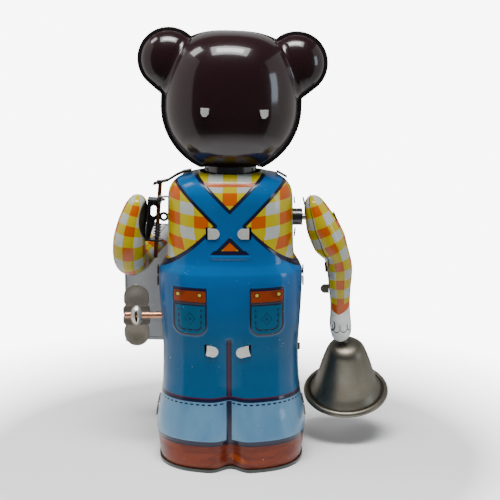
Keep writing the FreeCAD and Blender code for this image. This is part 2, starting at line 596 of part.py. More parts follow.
# ---------------------------------------------------------------- build: stop lever
STOP_X = -9.2
ears = [box(STOP_X - 1.0, PLATE_X[1] - PLATE / 2, y0, y0 + 0.6, STOP_Z - 1.0, STOP_Z + 1.0) for y0 in (-1.2, 0.6)]
foot = box(PLATE_X[1] - PLATE / 2 - 0.5, PLATE_X[1] - PLATE / 2, -1.2, 1.2, STOP_Z - 1.0, STOP_Z + 1.0)
save("stop_yoke", fuse(*ears, foot, rod((STOP_X, -1.5, STOP_Z), (STOP_X, 1.5, STOP_Z), 0.4)))
lever = fuse(box(-25.0, STOP_X, -0.3, 0.3, STOP_Z - 0.7, STOP_Z + 0.7),
             rod((STOP_X, -0.3, STOP_Z), (STOP_X, 0.3, STOP_Z), 0.95),
             box(-26.0, -24.4, -0.3, 0.3, STOP_Z - 1.3, STOP_Z + 1.3))
save("stop_lever", lever.cut(rod((STOP_X, -1, STOP_Z), (STOP_X, 1, STOP_Z), 0.45)))

# ---------------------------------------------------------------- build: bell arm
save("bell_axle", rod((-37.4, 0, SHOULDER_Z), (PLATE_X[0] + 0.1, 0, SHOULDER_Z), AXLE_R))
sleeve = fuse(rod((-26.4, 0, SHOULDER_Z), (-21.4, 0, SHOULDER_Z), SLEEVE_R),
              rod((-22.1, 0, SHOULDER_Z), (-21.4, 0, SHOULDER_Z), SLEEVE_R + 0.8))
save("shoulder_sleeve", sleeve.cut(rod((-30, 0, SHOULDER_Z), (-20, 0, SHOULDER_Z), AXLE_R + 0.06)))
LEVER_END = (5.4, SHOULDER_Z - 1.6)
lever = polygon([(-3.4, -1.9, SHOULDER_Z + 1.6), (-3.4, 1.2, SHOULDER_Z + 1.9), (-3.4, 6.6, LEVER_END[1] + 0.9),
                 (-3.4, 6.6, LEVER_END[1] - 1.1), (-3.4, 1.2, SHOULDER_Z - 2.1),
                 (-3.4, -1.9, SHOULDER_Z - 1.6)]).extrude(V(0.8, 0, 0))
lever = lever.cut(rod((-5, 0, SHOULDER_Z), (0, 0, SHOULDER_Z), AXLE_R))
save("bell_lever", lever.cut(rod((-5, *LEVER_END), (0, *LEVER_END), 0.5)))
save("lever_pin", fuse(rod((-4.35, *LEVER_END), (-2.2, *LEVER_END), 0.5),
                       rod((-2.6, *LEVER_END), (-2.2, *LEVER_END), 0.9)))
link = polygon([(-4.2, LEVER_END[0] - 0.6, LEVER_END[1]), (-4.2, LEVER_END[0] + 0.6, LEVER_END[1]),
                (-4.2, CRANK_PIN[0] + 0.6, CRANK_PIN[1]), (-4.2, CRANK_PIN[0] - 0.6, CRANK_PIN[1])]
               ).extrude(V(0.65, 0, 0))
for end, bore in ((LEVER_END, 0.56), (CRANK_PIN, 0.75)):
    link = link.fuse(rod((-4.2, *end), (-3.55, *end), 1.2)).cut(rod((-5, *end), (0, *end), bore))
save("bell_link", link)

bell_core = arm_solid(BELL_ARM, 0.0)
bell_shell = bell_core.cut(arm_solid(BELL_ARM, TIN)).cut(rod((-45, 0, SHOULDER_Z), (-20, 0, SHOULDER_Z), AXLE_R))
bell_seam = [(x + (2.4 if z > 60 else 1.7) * min(1.0, a / 4), z) for x, y, z, a, b in BELL_ARM]
inner, outer = split_by_x(bell_shell, bell_seam, 1)
save("bell_arm_outer", outer)
save("bell_arm_inner", inner)


def seated(piece, core):
    """What of a small piece stands clear of the solid it's seated on."""
    return max(piece.cut(core).Solids, key=lambda solid: solid.Volume)


axle_tab = turned(box(-0.25, 0.25, -1.4, 1.4, -1.6, 1.6), (0, 0, 0), (0, 1, 0), 24)
axle_tab.translate(V(-38.6, 0, 91.2))
crown_tab = fuse(turned(box(-27.4, -26.8, -1.7, 1.7, 94.9, 98.0), (-27, 0, 96.4), (0, 1, 0), 14),
                 turned(box(-28.8, -26.4, -1.7, 1.7, 98.2, 98.8), (-27.6, 0, 98.5), (0, 1, 0), -26))
elbow_tab = turned(box(-36.3, -35.2, -4.6, -3.0, 69.4, 73.0), (-36, -3, 71), (0, 1, 0), 6)
wrist_tab = fuse(box(-37.6, -35.4, -6.2, -5.7, 60.6, 64.0), rod((-35.4, -6.2, 62.3), (-35.4, -5.7, 62.3), 1.7))
save("bell_arm_tabs", *(seated(t, bell_core) for t in (axle_tab, crown_tab, elbow_tab, wrist_tab)))


# ---------------------------------------------------------------- build: bell
def bell_place(shape):
    """Moves a bell piece from its own frame, apex at the origin and mouth down, to the hand."""
    out = shape.copy()
    out.rotate(V(0, 0, 0), V(0, 1, 0), BELL_ROLL)
    out.rotate(V(0, 0, 0), V(1, 0, 0), -BELL_TILT)
    out.translate(BELL_APEX)
    return out


def lathe(points):
    """Turns a closed outline of (r, z) points, each run straight, about Z."""
    face = polygon([(r, 0, z) for r, z in points])
    return face.revolve(V(0, 0, 0), V(0, 0, 1), 360)


outside = [(1.0, 0.0), (3.4, -0.3), (5.0, -1.0), (6.3, -2.2), (7.2, -4.0), (9.1, -9.8), (10.9, -16.3),
           (12.2, -19.1), (13.7, -21.4), (14.6, -22.6), (15.0, -22.8), (15.7, -22.4), (16.4, -22.8), (16.5, -23.5)]
inside = [(16.2, -23.9), (15.6, -23.5), (14.9, -23.6), (14.0, -22.7), (13.1, -21.5), (11.6, -19.2), (10.3, -16.4),
          (8.5, -9.8), (6.6, -4.3), (5.8, -2.9), (4.7, -1.7), (3.2, -0.95), (1.0, -0.65)]
save("bell_cup", bell_place(lathe(outside + inside)))
HANG = 3.4                # depth of the clapper's pivot below the crown
hanger = fuse(rod((0, 0, -1.2), (0, 0, 0.5), 0.98), rod((0, 0, -1.75), (0, 0, -1.1), 2.2),
              rod((0, 0, -HANG + 0.9), (0, 0, -1.7), 0.6), ring((-0.45, 0, -HANG), (0.45, 0, -HANG), 1.25, 0.6))
hanger = hanger.cut(rod((-2, 0, -HANG), (2, 0, -HANG), 0.6))
save("bell_hanger", bell_place(hanger))
cx, cy, cz = bell_place(Part.Vertex(V(0, 0, -HANG))).Point
loop = Part.makeTorus(1.0, 0.26, V(cx, cy, cz - 1.0), V(0, 1, 0))
save("clapper_wire", fuse(loop, rod((cx, cy, cz - 1.95), (cx, cy, cz - 14.0), 0.4)))
save("clapper_ball", Part.makeSphere(2.3, V(cx, cy, cz - 15.2)).cut(rod((cx, cy, cz - 10), (cx, cy, cz - 14.0), 0.4)))


# ---------------------------------------------------------------- build: paper arm and its hinge
LEAN_Z = 90.0             # height at which the leaning rod stands at ROD_X


def lean(shape):
    """Tilts an upright hinge piece with the rod."""
    return turned(shape, (ROD_X, ROD_Y, LEAN_Z), (0, 1, 0), -ROD_TILT)


def rod_at(z0, z1, r):
    return lean(rod((ROD_X, ROD_Y, z0), (ROD_X, ROD_Y, z1), r))


save("hinge_rod", fuse(rod_at(75.6, 103.9, ROD_R), rod_at(103.9, 104.5, 1.3)))
strap_points = [(14.2, 108.0), (17.0, 107.5), (19.6, 106.3), (22.8, 104.3), (28.2, 102.9)]
strap = polygon([(x, -2.0, z + 0.7) for x, z in strap_points] + [(x, -2.0, z) for x, z in reversed(strap_points)])
save("shoulder_bracket", strap.extrude(V(0, 4.0, 0)).cut(rod_at(98, 110, ROD_R)).cut(rod_at(103.9, 108, 1.3)))
eye_x = 24.5
eye = fuse(rod((21.2, 0, SHOULDER_Z), (eye_x - 1.3, 0, SHOULDER_Z), 0.9),
           Part.makeTorus(1.3, 0.5, V(eye_x, 0, SHOULDER_Z), V(0, 1, 0)),
           rod((21.2, 0, SHOULDER_Z), (21.8, 0, SHOULDER_Z), 1.9))
save("rod_eye", eye.cut(rod_at(80, 100, ROD_R)))


def coil(z0, z1, radius, wire, turns):
    """Round-wire coil about the Z axis."""
    helix = Part.makeHelix((z1 - z0) / turns, z1 - z0, radius)
    section = Part.Wire(Part.Circle(V(radius, 0, 0), V(0, 1, 0), wire).toShape())
    pipe = Part.Wire(helix).makePipeShell([section], True, True)
    pipe.translate(V(0, 0, z0))
    return pipe


spring = coil(83.4, 88.6, 1.15, 0.22, 5)
spring.translate(V(ROD_X, ROD_Y, 0))
save("rod_spring", lean(spring))

paper_core = arm_solid(PAPER_ARM, 0.0)
save("paper_arm_shell", paper_core.cut(arm_solid(PAPER_ARM, TIN)))


WEB_X = 30.25             # inner face of the bracket's web, beside the arm


def ear(z, x0, y0, y1):
    """One ear of the arm's bracket, square to the rod, with its hole."""
    plate = fuse(box(x0, WEB_X + 0.5, y0, y1, z - 0.3, z + 0.3), rod((ROD_X, 0, z - 0.3), (ROD_X, 0, z + 0.3), 2.2))
    return lean(plate).cut(rod_at(z - 3, z + 3, ROD_R + 0.08))


top_ear = ear(97.5, 25.5, -2.4, 4.1).cut(lean(box(ROD_X - 0.72, ROD_X + 0.72, 1.95, 3.45, 95, 100)))
foot_ear = ear(82.3, 25.5, -2.4, 2.4)
web = lean(box(WEB_X, WEB_X + 0.5, -2.4, 2.4, 82.3, 97.6))
cheek = polygon([(25.6, -2.4, 97.2), (WEB_X + 0.5, -2.4, 97.2), (WEB_X + 0.5, -2.4, 82.4), (29.4, -2.4, 82.4)])
cheek = cheek.extrude(V(0, 0.5, 0))
for z in (91.6, 93.6):
    cheek = cheek.cut(rod((28.6, -4, z), (28.6, 0, z), 1.0))
cheek = lean(cheek.cut(box(27.6, 29.6, -4, 0, 91.6, 93.6)))
save("arm_bracket", fuse(top_ear, foot_ear, web, cheek))


def newspaper():
    """Open folded sheet: two leaves that bow forward from the middle fold."""
    z0, z1, t = 35.4, 82.6, 0.5
    mid, edge, fold = 22.8, 19.2, -28.3
    leaves = []
    for side in (-1, 1):
        a, b = V(mid, fold, z0), V(mid + side * edge, fold + 0.4, z0)
        bulge = V(mid + side * edge * 0.55, fold - 2.2, z0)
        front = Part.Arc(a + V(0, -t, 0), bulge + V(0, -t, 0), b + V(0, -t, 0)).toShape()
        back = Part.Arc(a, bulge, b).toShape()
        ends = [Part.LineSegment(p, p + V(0, -t, 0)).toShape() for p in (a, b)]
        face = Part.Face(Part.Wire(Part.__sortEdges__([front, back] + ends)))
        leaves.append(face.extrude(V(0, 0, z1 - z0)))
    return fuse(*leaves)


sheet = newspaper()
save("newspaper", sheet)
rivet = rod((25.2, -29.0, 80.4), (25.2, -24.0, 80.4), 0.9).cut(sheet)
save("paper_rivet", seated(rivet, paper_core))

# ---------------------------------------------------------------- build: push wire and rocker
rod_top_x = ROD_X - (WIRE_Z - LEAN_Z) * math.tan(math.radians(ROD_TILT))
save("push_wire", wire_path([(13.7, WIRE_Y, WIRE_Z), (rod_top_x, WIRE_Y, WIRE_Z),
                             (rod_top_x, WIRE_Y, 96.2)], 0.42, 0.7))
PIVOT_X = 14.1
rocker = fuse(box(12.9, 13.5, WIRE_Y - 1.5, WIRE_Y + 1.5, 80.2, 100.2),
              rod((PIVOT_X, WIRE_Y - 1.5, ROCKER_Z), (PIVOT_X, WIRE_Y + 1.5, ROCKER_Z), 0.95))
save("paper_rocker", rocker.cut(rod((PIVOT_X, 0, ROCKER_Z), (PIVOT_X, 6, ROCKER_Z), 0.45)))
plate_face = PLATE_X[0] + PLATE / 2
yoke = [box(plate_face, PIVOT_X + 0.9, y0, y0 + 0.6, ROCKER_Z - 1, ROCKER_Z + 1) for y0 in (WIRE_Y - 2.3, WIRE_Y + 1.7)]
foot = box(plate_face, plate_face + 0.5, WIRE_Y - 2.3, WIRE_Y + 2.3, ROCKER_Z - 1, ROCKER_Z + 1)
save("rocker_yoke", fuse(*yoke, foot, rod((PIVOT_X, WIRE_Y - 2.5, ROCKER_Z), (PIVOT_X, WIRE_Y + 2.5, ROCKER_Z), 0.4)))

# ---------------------------------------------------------------- build: head
def head_set(shape):
    return turned(shape, (0, 0, 120), (0, 1, 0), HEAD_ROLL)


save("head_back", head_set(head_half(False)))
save("head_front", head_set(head_half(True)))
shaft = rod((0, 0, 97.4), (0, 0, 131.5), NECK_SHAFT_R)
save("head_bracket", head_set(head_bracket()).cut(shaft))
save("neck_shaft", shaft)
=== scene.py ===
"""Looks for the wind-up tin bear: lithographed tinplate, enamelled head, brushed bell and key."""
import bpy
import json
import numpy as np
from math import cos, hypot, pi, radians, sin
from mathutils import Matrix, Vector


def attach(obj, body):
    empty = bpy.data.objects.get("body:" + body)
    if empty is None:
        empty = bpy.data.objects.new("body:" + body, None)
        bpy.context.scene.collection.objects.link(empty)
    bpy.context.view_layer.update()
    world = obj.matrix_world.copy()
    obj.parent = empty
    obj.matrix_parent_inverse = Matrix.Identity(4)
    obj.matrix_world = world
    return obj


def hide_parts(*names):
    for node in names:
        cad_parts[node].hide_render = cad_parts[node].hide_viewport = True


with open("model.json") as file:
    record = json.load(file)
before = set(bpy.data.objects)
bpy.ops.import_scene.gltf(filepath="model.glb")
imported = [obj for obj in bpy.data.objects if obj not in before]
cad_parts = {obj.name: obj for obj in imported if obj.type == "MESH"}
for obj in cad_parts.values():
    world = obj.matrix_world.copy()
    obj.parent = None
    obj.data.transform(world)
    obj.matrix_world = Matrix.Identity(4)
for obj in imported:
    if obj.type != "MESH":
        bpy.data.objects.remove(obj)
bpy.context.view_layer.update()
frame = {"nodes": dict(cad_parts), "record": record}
MM = 0.001


# ---- node expressions
class Val:
    """A node socket that builds Math nodes when it is used in arithmetic.

    Masks run from 0 to 1, so & and | are the smaller and the larger, and ~ turns one over.
    """
    tree = None

    def __init__(self, socket):
        self.socket = socket

    @staticmethod
    def math(op, *args, clamp=False):
        node = new_node("Math")
        node.operation, node.use_clamp = op, clamp
        for slot, arg in zip(node.inputs, args):
            if isinstance(arg, Val):
                Val.tree.links.new(arg.socket, slot)
            else:
                slot.default_value = arg
        return Val(node.outputs[0])

    def __rsub__(self, other):
        return Val.math("SUBTRACT", other, self)

    def __abs__(self):
        return Val.math("ABSOLUTE", self)

    def __invert__(self):
        return Val.math("SUBTRACT", 1.0, self)


for sign, maths in (("add", "ADD"), ("sub", "SUBTRACT"), ("mul", "MULTIPLY"), ("truediv", "DIVIDE"),
                    ("and", "MINIMUM"), ("or", "MAXIMUM")):
    setattr(Val, f"__{sign}__", lambda self, other, maths=maths: Val.math(maths, self, other))

SOFT = 0.09  # width of a printed edge, mm
LARGE = 1e4  # beyond every size here, mm
FINE = 0.0002  # depth of fine grain in bare or enamelled metal, m


def ramp(a, gain, offset):
    """a * gain + offset, held between 0 and 1."""
    return Val.math("MULTIPLY_ADD", a, gain, offset, clamp=True)


def above(a, b, soft=SOFT):
    """1 where a > b, with a short soft edge."""
    return ramp(a - b, 1 / soft, 0.5)


def below(a, b, soft=SOFT):
    """1 where a < b."""
    return ramp(a - b, -1 / soft, 0.5)


def between(a, low, high, soft=SOFT):
    """1 where low < a < high."""
    return below(abs(a - (low + high) / 2), (high - low) / 2, soft)


def wave(a, period, duty, start=0.0):
    """1 over the first part of each period."""
    phase = Val.math("FRACT", (a - start) / period)
    soft = SOFT / period
    return below(abs(phase - duty / 2), duty / 2, soft) | above(phase, 1 - soft / 2, soft)


def square(a):
    return a * a


def positive(a):
    """a where it is above 0, else 0."""
    return Val.math("MAXIMUM", a, 0.0)


def radius(a, b):
    """Distance from the point where a and b are both 0."""
    return Val.math("SQRT", square(a) + square(b))


def bell_curve(a, width):
    """exp(-(a/width)^2)."""
    return Val.math("EXPONENT", square(a / width) * -1.0)


def srgb(r, g, b):
    """Linear colour of an 8-bit sRGB one."""
    def linear(c):
        c /= 255
        return c / 12.92 if c <= 0.04045 else ((c + 0.055) / 1.055) ** 2.4
    return (linear(r), linear(g), linear(b), 1.0)


class Paint:
    """Flat colours laid over each other; calling it with a mask and a colour lays the next one."""

    def __init__(self, base):
        self.colour = base

    def __call__(self, mask, colour):
        mix = new_node("Mix")
        mix.data_type = "RGBA"
        for slot, arg in ((mix.inputs[0], mask), (mix.inputs[6], self.colour), (mix.inputs[7], colour)):
            if isinstance(arg, Val):
                Val.tree.links.new(arg.socket, slot)
            else:
                slot.default_value = arg
        self.colour = Val(mix.outputs[2])

    def finish(self, shader, rough, height, strength, distance):
        """Joins the colours, a roughness and fine bumps of a depth in metres to a shader."""
        link(self.colour, shader.inputs["Base Color"])
        link(rough, shader.inputs["Roughness"])
        node = new_node("Bump")
        fixed(node, Strength=strength, Distance=distance)
        link(height, node.inputs["Height"])
        Val.tree.links.new(node.outputs[0], shader.inputs["Normal"])


def new_node(kind):
    return Val.tree.nodes.new("ShaderNode" + kind)


def new_material(name):
    """A node material, whose tree the Val expressions then build in, and its shader."""
    mat = bpy.data.materials.new(name)
    mat.use_nodes = True
    Val.tree = mat.node_tree
    return mat, mat.node_tree.nodes["Principled BSDF"]


def coords():
    """Object coordinates in millimetres."""
    node = new_node("TexCoord")
    split = new_node("SeparateXYZ")
    Val.tree.links.new(node.outputs["Object"], split.inputs[0])
    return tuple(Val(split.outputs[i]) * 1000.0 for i in range(3))


def uv_coords():
    """The sheet's own UV coordinates, stored as decimetres, in millimetres."""
    node = new_node("UVMap")
    node.uv_map = "sheet"
    split = new_node("SeparateXYZ")
    Val.tree.links.new(node.outputs[0], split.inputs[0])
    return Val(split.outputs[0]) * 100.0, Val(split.outputs[1]) * 100.0


def noise(scale, detail=3.0, stretch=(1, 1, 1), rough=0.5):
    """Noise in object space; scale is features per millimetre."""
    tex, mapping, node = new_node("TexCoord"), new_node("Mapping"), new_node("TexNoise")
    mapping.inputs["Scale"].default_value = [s * 1000 for s in stretch]
    fixed(node, Scale=scale, Detail=detail, Roughness=rough)
    Val.tree.links.new(tex.outputs["Object"], mapping.inputs[0])
    Val.tree.links.new(mapping.outputs[0], node.inputs["Vector"])
    return Val(node.outputs["Fac"])


def mesh_value(name):
    """A number stored on the mesh's points."""
    node = new_node("Attribute")
    node.attribute_name = name
    return Val(node.outputs["Fac"])


def link(value, socket):
    Val.tree.links.new(value.socket, socket)


def fixed(node, **values):
    """Constants on a node's own inputs; an underscore in a name stands for a space."""
    for name, value in values.items():
        node.inputs[name.replace("_", " ")].default_value = value


def tin_finish(paint, shader, rough=0.34, coat=0.6):
    """Printed tin under a hard gloss varnish, with faint pressing marks and handling specks."""
    fixed(shader, Coat_Weight=coat, Coat_Roughness=0.045, Specular_IOR_Level=0.15)
    height = noise(0.09, 2.0) + noise(1.7, 2.0) * 0.012
    paint.finish(shader, noise(0.25) * 0.14 + (rough - 0.07), height, 0.12, 0.0006)


def specks(paint, amount, colour=srgb(222, 220, 210)):
    """Tiny chips and dust, as on an old toy; fewer as amount nears 1."""
    paint(above(noise(1.1, 2.0, rough=0.7), amount, 0.03) * 0.75, colour)


# ---- colours
ORANGE, YELLOW, CREAM = (0.5, 0.088, 0.0, 1), (0.49, 0.4, 0.0, 1), (0.43, 0.46, 0.43, 1)
BLUE, BLUE_DARK, CUFF = (0.0, 0.105, 0.33, 1), (0.0, 0.06, 0.12, 1), (0.1, 0.235, 0.37, 1)
NAVY, MAROON, LEATHER = (0.005, 0.006, 0.026, 1), (0.06, 0.012, 0.03, 1), (0.25, 0.036, 0.005, 1)
SHOE, SHOE_DARK, GLOVE = (0.17, 0.025, 0.006, 1), (0.07, 0.01, 0.004, 1), (0.8, 0.82, 0.79, 1)
SEAM_LINE = (0.02, 0.017, 0.01, 1)

# ---- layout of the print and its relief, mm
STRAP_LOW, STRAP_HIGH = 85.6, 95.7  # the crossed straps' edges, as z - |x|
TRIANGLE_Z = 81.0  # foot of the triangle that the straps frame
YOKE_X, YOKE_BEND = 8.6, 0.0154  # where the back's top line starts to bend, and how much
BIB_Z, BIB_X, BIB_FALL = 95.5, 11.5, 1.62  # the bib's top, its half width, the slope beside it
BRACE_X, BRACE_Z, BRACE_LEAN = 9.6, 95.0, 0.42  # the front's straps
BUTTON_X, BUTTON_Z = 9.6, 92.4
POCKET_MID, POCKET_X = 0.6, 13.85  # middle of the pair, and each one's distance from it
POCKET_FLAT, POCKET_Z = 2.2, 54.7  # half of the flat foot, and where the corners start
LEG_X, LEG_TOP = 0.4, 49.4  # the line between the legs
CUFF_Z, CUFF_RISE, CUFF_RISE_W = 26.75, 0.7, 4.0  # the cuffs' top edge, and its rise between the legs
SHOE_TOP = 10.9
SHOULDER_Z = 91.0
HEAD_Z, HEAD_W, HEAD_UP, HEAD_DOWN = 131.5, 24.1, 27.1, 23.5  # widest height, half width, reach up and down
HEAD_PIVOT_Z, HEAD_ROLL = 120.0, -2.0  # the head sits crooked about this height, degrees
HEAD_LEAN = 0.035  # the same as x per z
EAR_X, EAR_Z, EAR_R, EAR_DEPTH = 22.9, 147.9, 10.2, 7.2
EYE_X = 9.2
HEAD_FOOT = 110.3  # where the head is open for the neck
LUG_HOLE_X, LUG_HOLE_Z = (-11.7, 8.9), 132.2  # where the bracket's lugs come out of the head
BELL_AT = (-43.9, -9.2, 40.3)  # the bell's crown
KEY_AT = (35.0, 2.0, 54.1)  # middle of the key's wings
BOSS_W, BOSS_H = 2.3, 3.6  # half width and height of the key's boss
WRIST_TAB_Z = 66.0  # tabs below this are bare
PAPER_HALF, PAPER_Z0, PAPER_Z1 = 19.2, 35.4, 82.6  # half of the sheet's width, its foot and its head


def gingham(u, v, size_u, size_v, start_v, top=LARGE):
    """Two-colour check: orange where bands cross, cream where neither is, yellow elsewhere."""
    bars = wave(u, 2 * size_u, 0.5, -size_u / 2)
    rows = wave(v, 2 * size_v, 0.5, start_v) & below(v, top)
    paint = Paint(CREAM)
    paint((bars | rows), YELLOW)
    paint((bars & rows), ORANGE)
    return paint


def shirt_paint(x, y, z):
    """The body's check, printed flat: straight columns that close up a little towards the waist.

    Its rows lift towards the sides.
    """
    side_turn, square_z, close_up, width = 7.0, 88.0, 0.0155, 0.977
    across = x + Val.math("SIGN", x) * positive(side_turn - abs(y))
    across = across * (positive(square_z - z) * close_up + width)
    lift = square(x) * 0.0035
    paint = gingham(across, z - lift, 5.0, 4.37, 97.95, 104.0)
    paint(between(z, 104.3, 105.6), ORANGE)
    return paint


def overall_masks(x, z, back):
    """Where the overalls' cloth is, and where its dark outlines are."""
    ax = abs(x)
    # Back: the straps cross above the waist and frame a small triangle.
    p, q = z - ax, z + ax
    line_b = STRAP_HIGH - ax + square(positive(ax - YOKE_X)) * YOKE_BEND
    strap = between(p, STRAP_LOW, STRAP_HIGH)
    triangle = below(q, STRAP_LOW) & above(z, TRIANGLE_Z)
    bib_b = below(z, line_b) & ~triangle
    # Dark lines along the edges of the straps, of the cloth and of the triangle.
    dark_b = (between(p, 94.8, 96.5) | between(p, 84.7, 86.4)) & above(q, 95.0)
    dark_b = dark_b | (between(z - line_b, -0.85, 0.8) & below(p, 86.0))
    dark_b = dark_b | (between(q, 84.8, 86.7) & above(z, 80.2)) | (between(z, 80.2, 81.7) & below(q, 87.4))
    # Front: a bib with two straps.
    line_f = BIB_Z - positive(ax - BIB_X) * BIB_FALL
    brace = ax - ((z - BRACE_Z) * BRACE_LEAN + BRACE_X)
    strap_f = between(brace, -2.7, 2.7) & above(z, 93.0)
    bib_f = below(z, line_f)
    dark_f = (between(brace, -3.2, -2.5) | between(brace, 2.5, 3.2)) & above(z, BIB_Z)
    dark_f = dark_f | between(z - line_f, -0.6, 0.6)
    cloth = (back & (bib_b | strap)) | (~back & (bib_f | strap_f))
    return cloth, (back & dark_b) | (~back & dark_f)


def paint_pockets(paint, x, z, back):
    """Two pockets on the back; a pocket and the strap buttons on the bib."""
    px = abs(x - POCKET_MID) - POCKET_X
    corner = radius(positive(abs(px) - POCKET_FLAT), positive(POCKET_Z - z))
    pocket = back & below(corner, 3.9) & below(z, 68.3) & above(z, 50.0)
    paint(pocket & below(z, 62.6), (0.004, 0.085, 0.17, 1))
    rim = between(corner, 3.3, 3.95) & below(z, 62.6)
    stitch_side = between(corner, 1.6, 2.1) & above(z, 52.0) & below(z, 60.6) & wave(z, 2.3, 0.55)
    stitch_foot = between(corner, 1.6, 2.1) & below(z, POCKET_Z) & wave(x, 2.3, 0.55)
    paint(back & above(z, 50.4) & (rim | stitch_side | stitch_foot), (0.012, 0.008, 0.025, 1))
    diamond = abs(px) / 2.0 + abs(z - 57.0) / 2.5
    mark = between(diamond, 0.82, 1.0, 0.05) | below(diamond, 0.28, 0.05)
    paint(pocket & mark * 0.7, (0.002, 0.02, 0.06, 1))
    paint(back & below(abs(px), 6.15) & between(z, 61.9, 68.5), NAVY)
    flap = back & below(abs(px), 5.75) & between(z, 63.3, 67.4)
    paint(flap, LEATHER)
    scuff = above(noise(0.35, 3.0, (0.3, 1, 1)), 0.55, 0.12) * 0.5
    paint(flap & scuff, (0.1, 0.012, 0.004, 1))
    stud = radius(abs(px - 0.4) - 3.95, z - 65.9)
    paint(back & below(stud, 0.95), (0.03, 0.012, 0.004, 1))
    paint(back & below(stud, 0.62), (0.6, 0.42, 0.06, 1))
    ax, front = abs(x), ~back
    paint(front & below(ax, 7.2) & between(z, 77.5, 89.5), NAVY)
    paint(front & below(ax, 6.8) & between(z, 77.9, 86.6), BLUE)
    paint(front & below(ax, 6.8) & between(z, 87.2, 89.1), LEATHER)
    button = radius(ax - BUTTON_X, z - BUTTON_Z)
    paint(front & below(button, 2.1), NAVY)
    paint(front & below(button, 1.75), srgb(236, 196, 60))


def paint_legs(paint, x, z, u, back):
    """The line between the legs, turned-up cuffs with a row of stitches, and shoes."""
    seam = abs(x - LEG_X)
    paint(below(seam, 0.98) & below(z, LEG_TOP), NAVY)
    paint(below(seam, 0.42) & between(z, 27.0, 49.0), MAROON)
    cuff_line = bell_curve(x - LEG_X, CUFF_RISE_W) * CUFF_RISE + CUFF_Z
    cuff = below(z, cuff_line)
    paint(cuff, CUFF)
    worn = above(noise(0.12, 4.0, (1, 1, 0.5)), 0.52, 0.2) * 0.35
    paint(cuff & worn, (0.05, 0.13, 0.25, 1))
    paint(between(z - cuff_line, -0.85, 0.75), NAVY)
    paint(between(z - cuff_line, 0.3, 0.75), MAROON)
    dashes = between(z - cuff_line, -2.0, -1.45) & wave(u, 2.2, 0.58, 0.4) & above(seam, 1.2)
    paint(dashes, NAVY)
    paint(below(seam, 0.98) & between(z, 10.5, 26.4), NAVY)
    shoe = below(z, SHOE_TOP)
    paint(shoe, SHOE)
    streak = above(noise(0.22, 4.0, (0.35, 0.35, 2.2), 0.65), 0.5, 0.16) * 0.6
    paint(shoe & streak, SHOE_DARK)
    chevron = z + seam * 0.42
    fold = (between(chevron, 8.3, 8.8, 0.3) | between(chevron, 5.7, 6.1, 0.3)) & below(seam, 7.5, 2.0)
    paint(fold * 0.6, SHOE_DARK)
    # Painted highlight: a brighter orange patch low on the back of the shoes, near the middle.
    painted_shoe_highlight = below(radius((x + 2.6) / 3.1, (z + x * -0.25 - 5.4) / 1.3), 1.0, 0.5)
    paint(back & painted_shoe_highlight * 0.45, (0.4, 0.07, 0.004, 1))
    lace = ~back & below(abs(abs(x) - 13.0), 3.6) & between(z, 6.2, 10.0) & wave(z, 1.6, 0.4)
    paint(lace, srgb(230, 220, 200))
    paint(between(z, 10.05, 11.95), NAVY)


def body_material():
    """The whole litho of the body: shirt, crossed straps, overalls, pockets, cuffs and shoes, with painted
    shade low on the overalls and a painted highlight on the shoes.
    """
    mat, shader = new_material("litho_body")
    x, y, z = coords()
    back = above(y, 0.0, 0.02)
    paint = shirt_paint(x, y, z)
    cloth = Paint(BLUE)
    cloth(ramp(noise(0.035, 2.0), 3.2, -1.2) * 0.4, BLUE_DARK)
    # Partly the print's own tone and partly painted shade: the overalls darken downwards from about z 70 mm
    # to z 48 mm.
    cloth(ramp(z, -1 / 22.0, 3.2) * 0.7, BLUE_DARK)
    cloth_mask, outlines = overall_masks(x, z, back)
    paint(cloth_mask, cloth.colour)
    paint_pockets(paint, x, z, back)
    paint_legs(paint, x, z, uv_coords()[0], back)
    paint(outlines, NAVY)
    specks(paint, 0.755)
    tin_finish(paint, shader)
    # The varnish is thinner on the shoes and round the neck.
    coat = 0.6 - below(z, 10.5) * 0.35 - above(z, 101.5, 2.0) * 0.35
    link(coat, shader.inputs["Coat Weight"])
    return mat


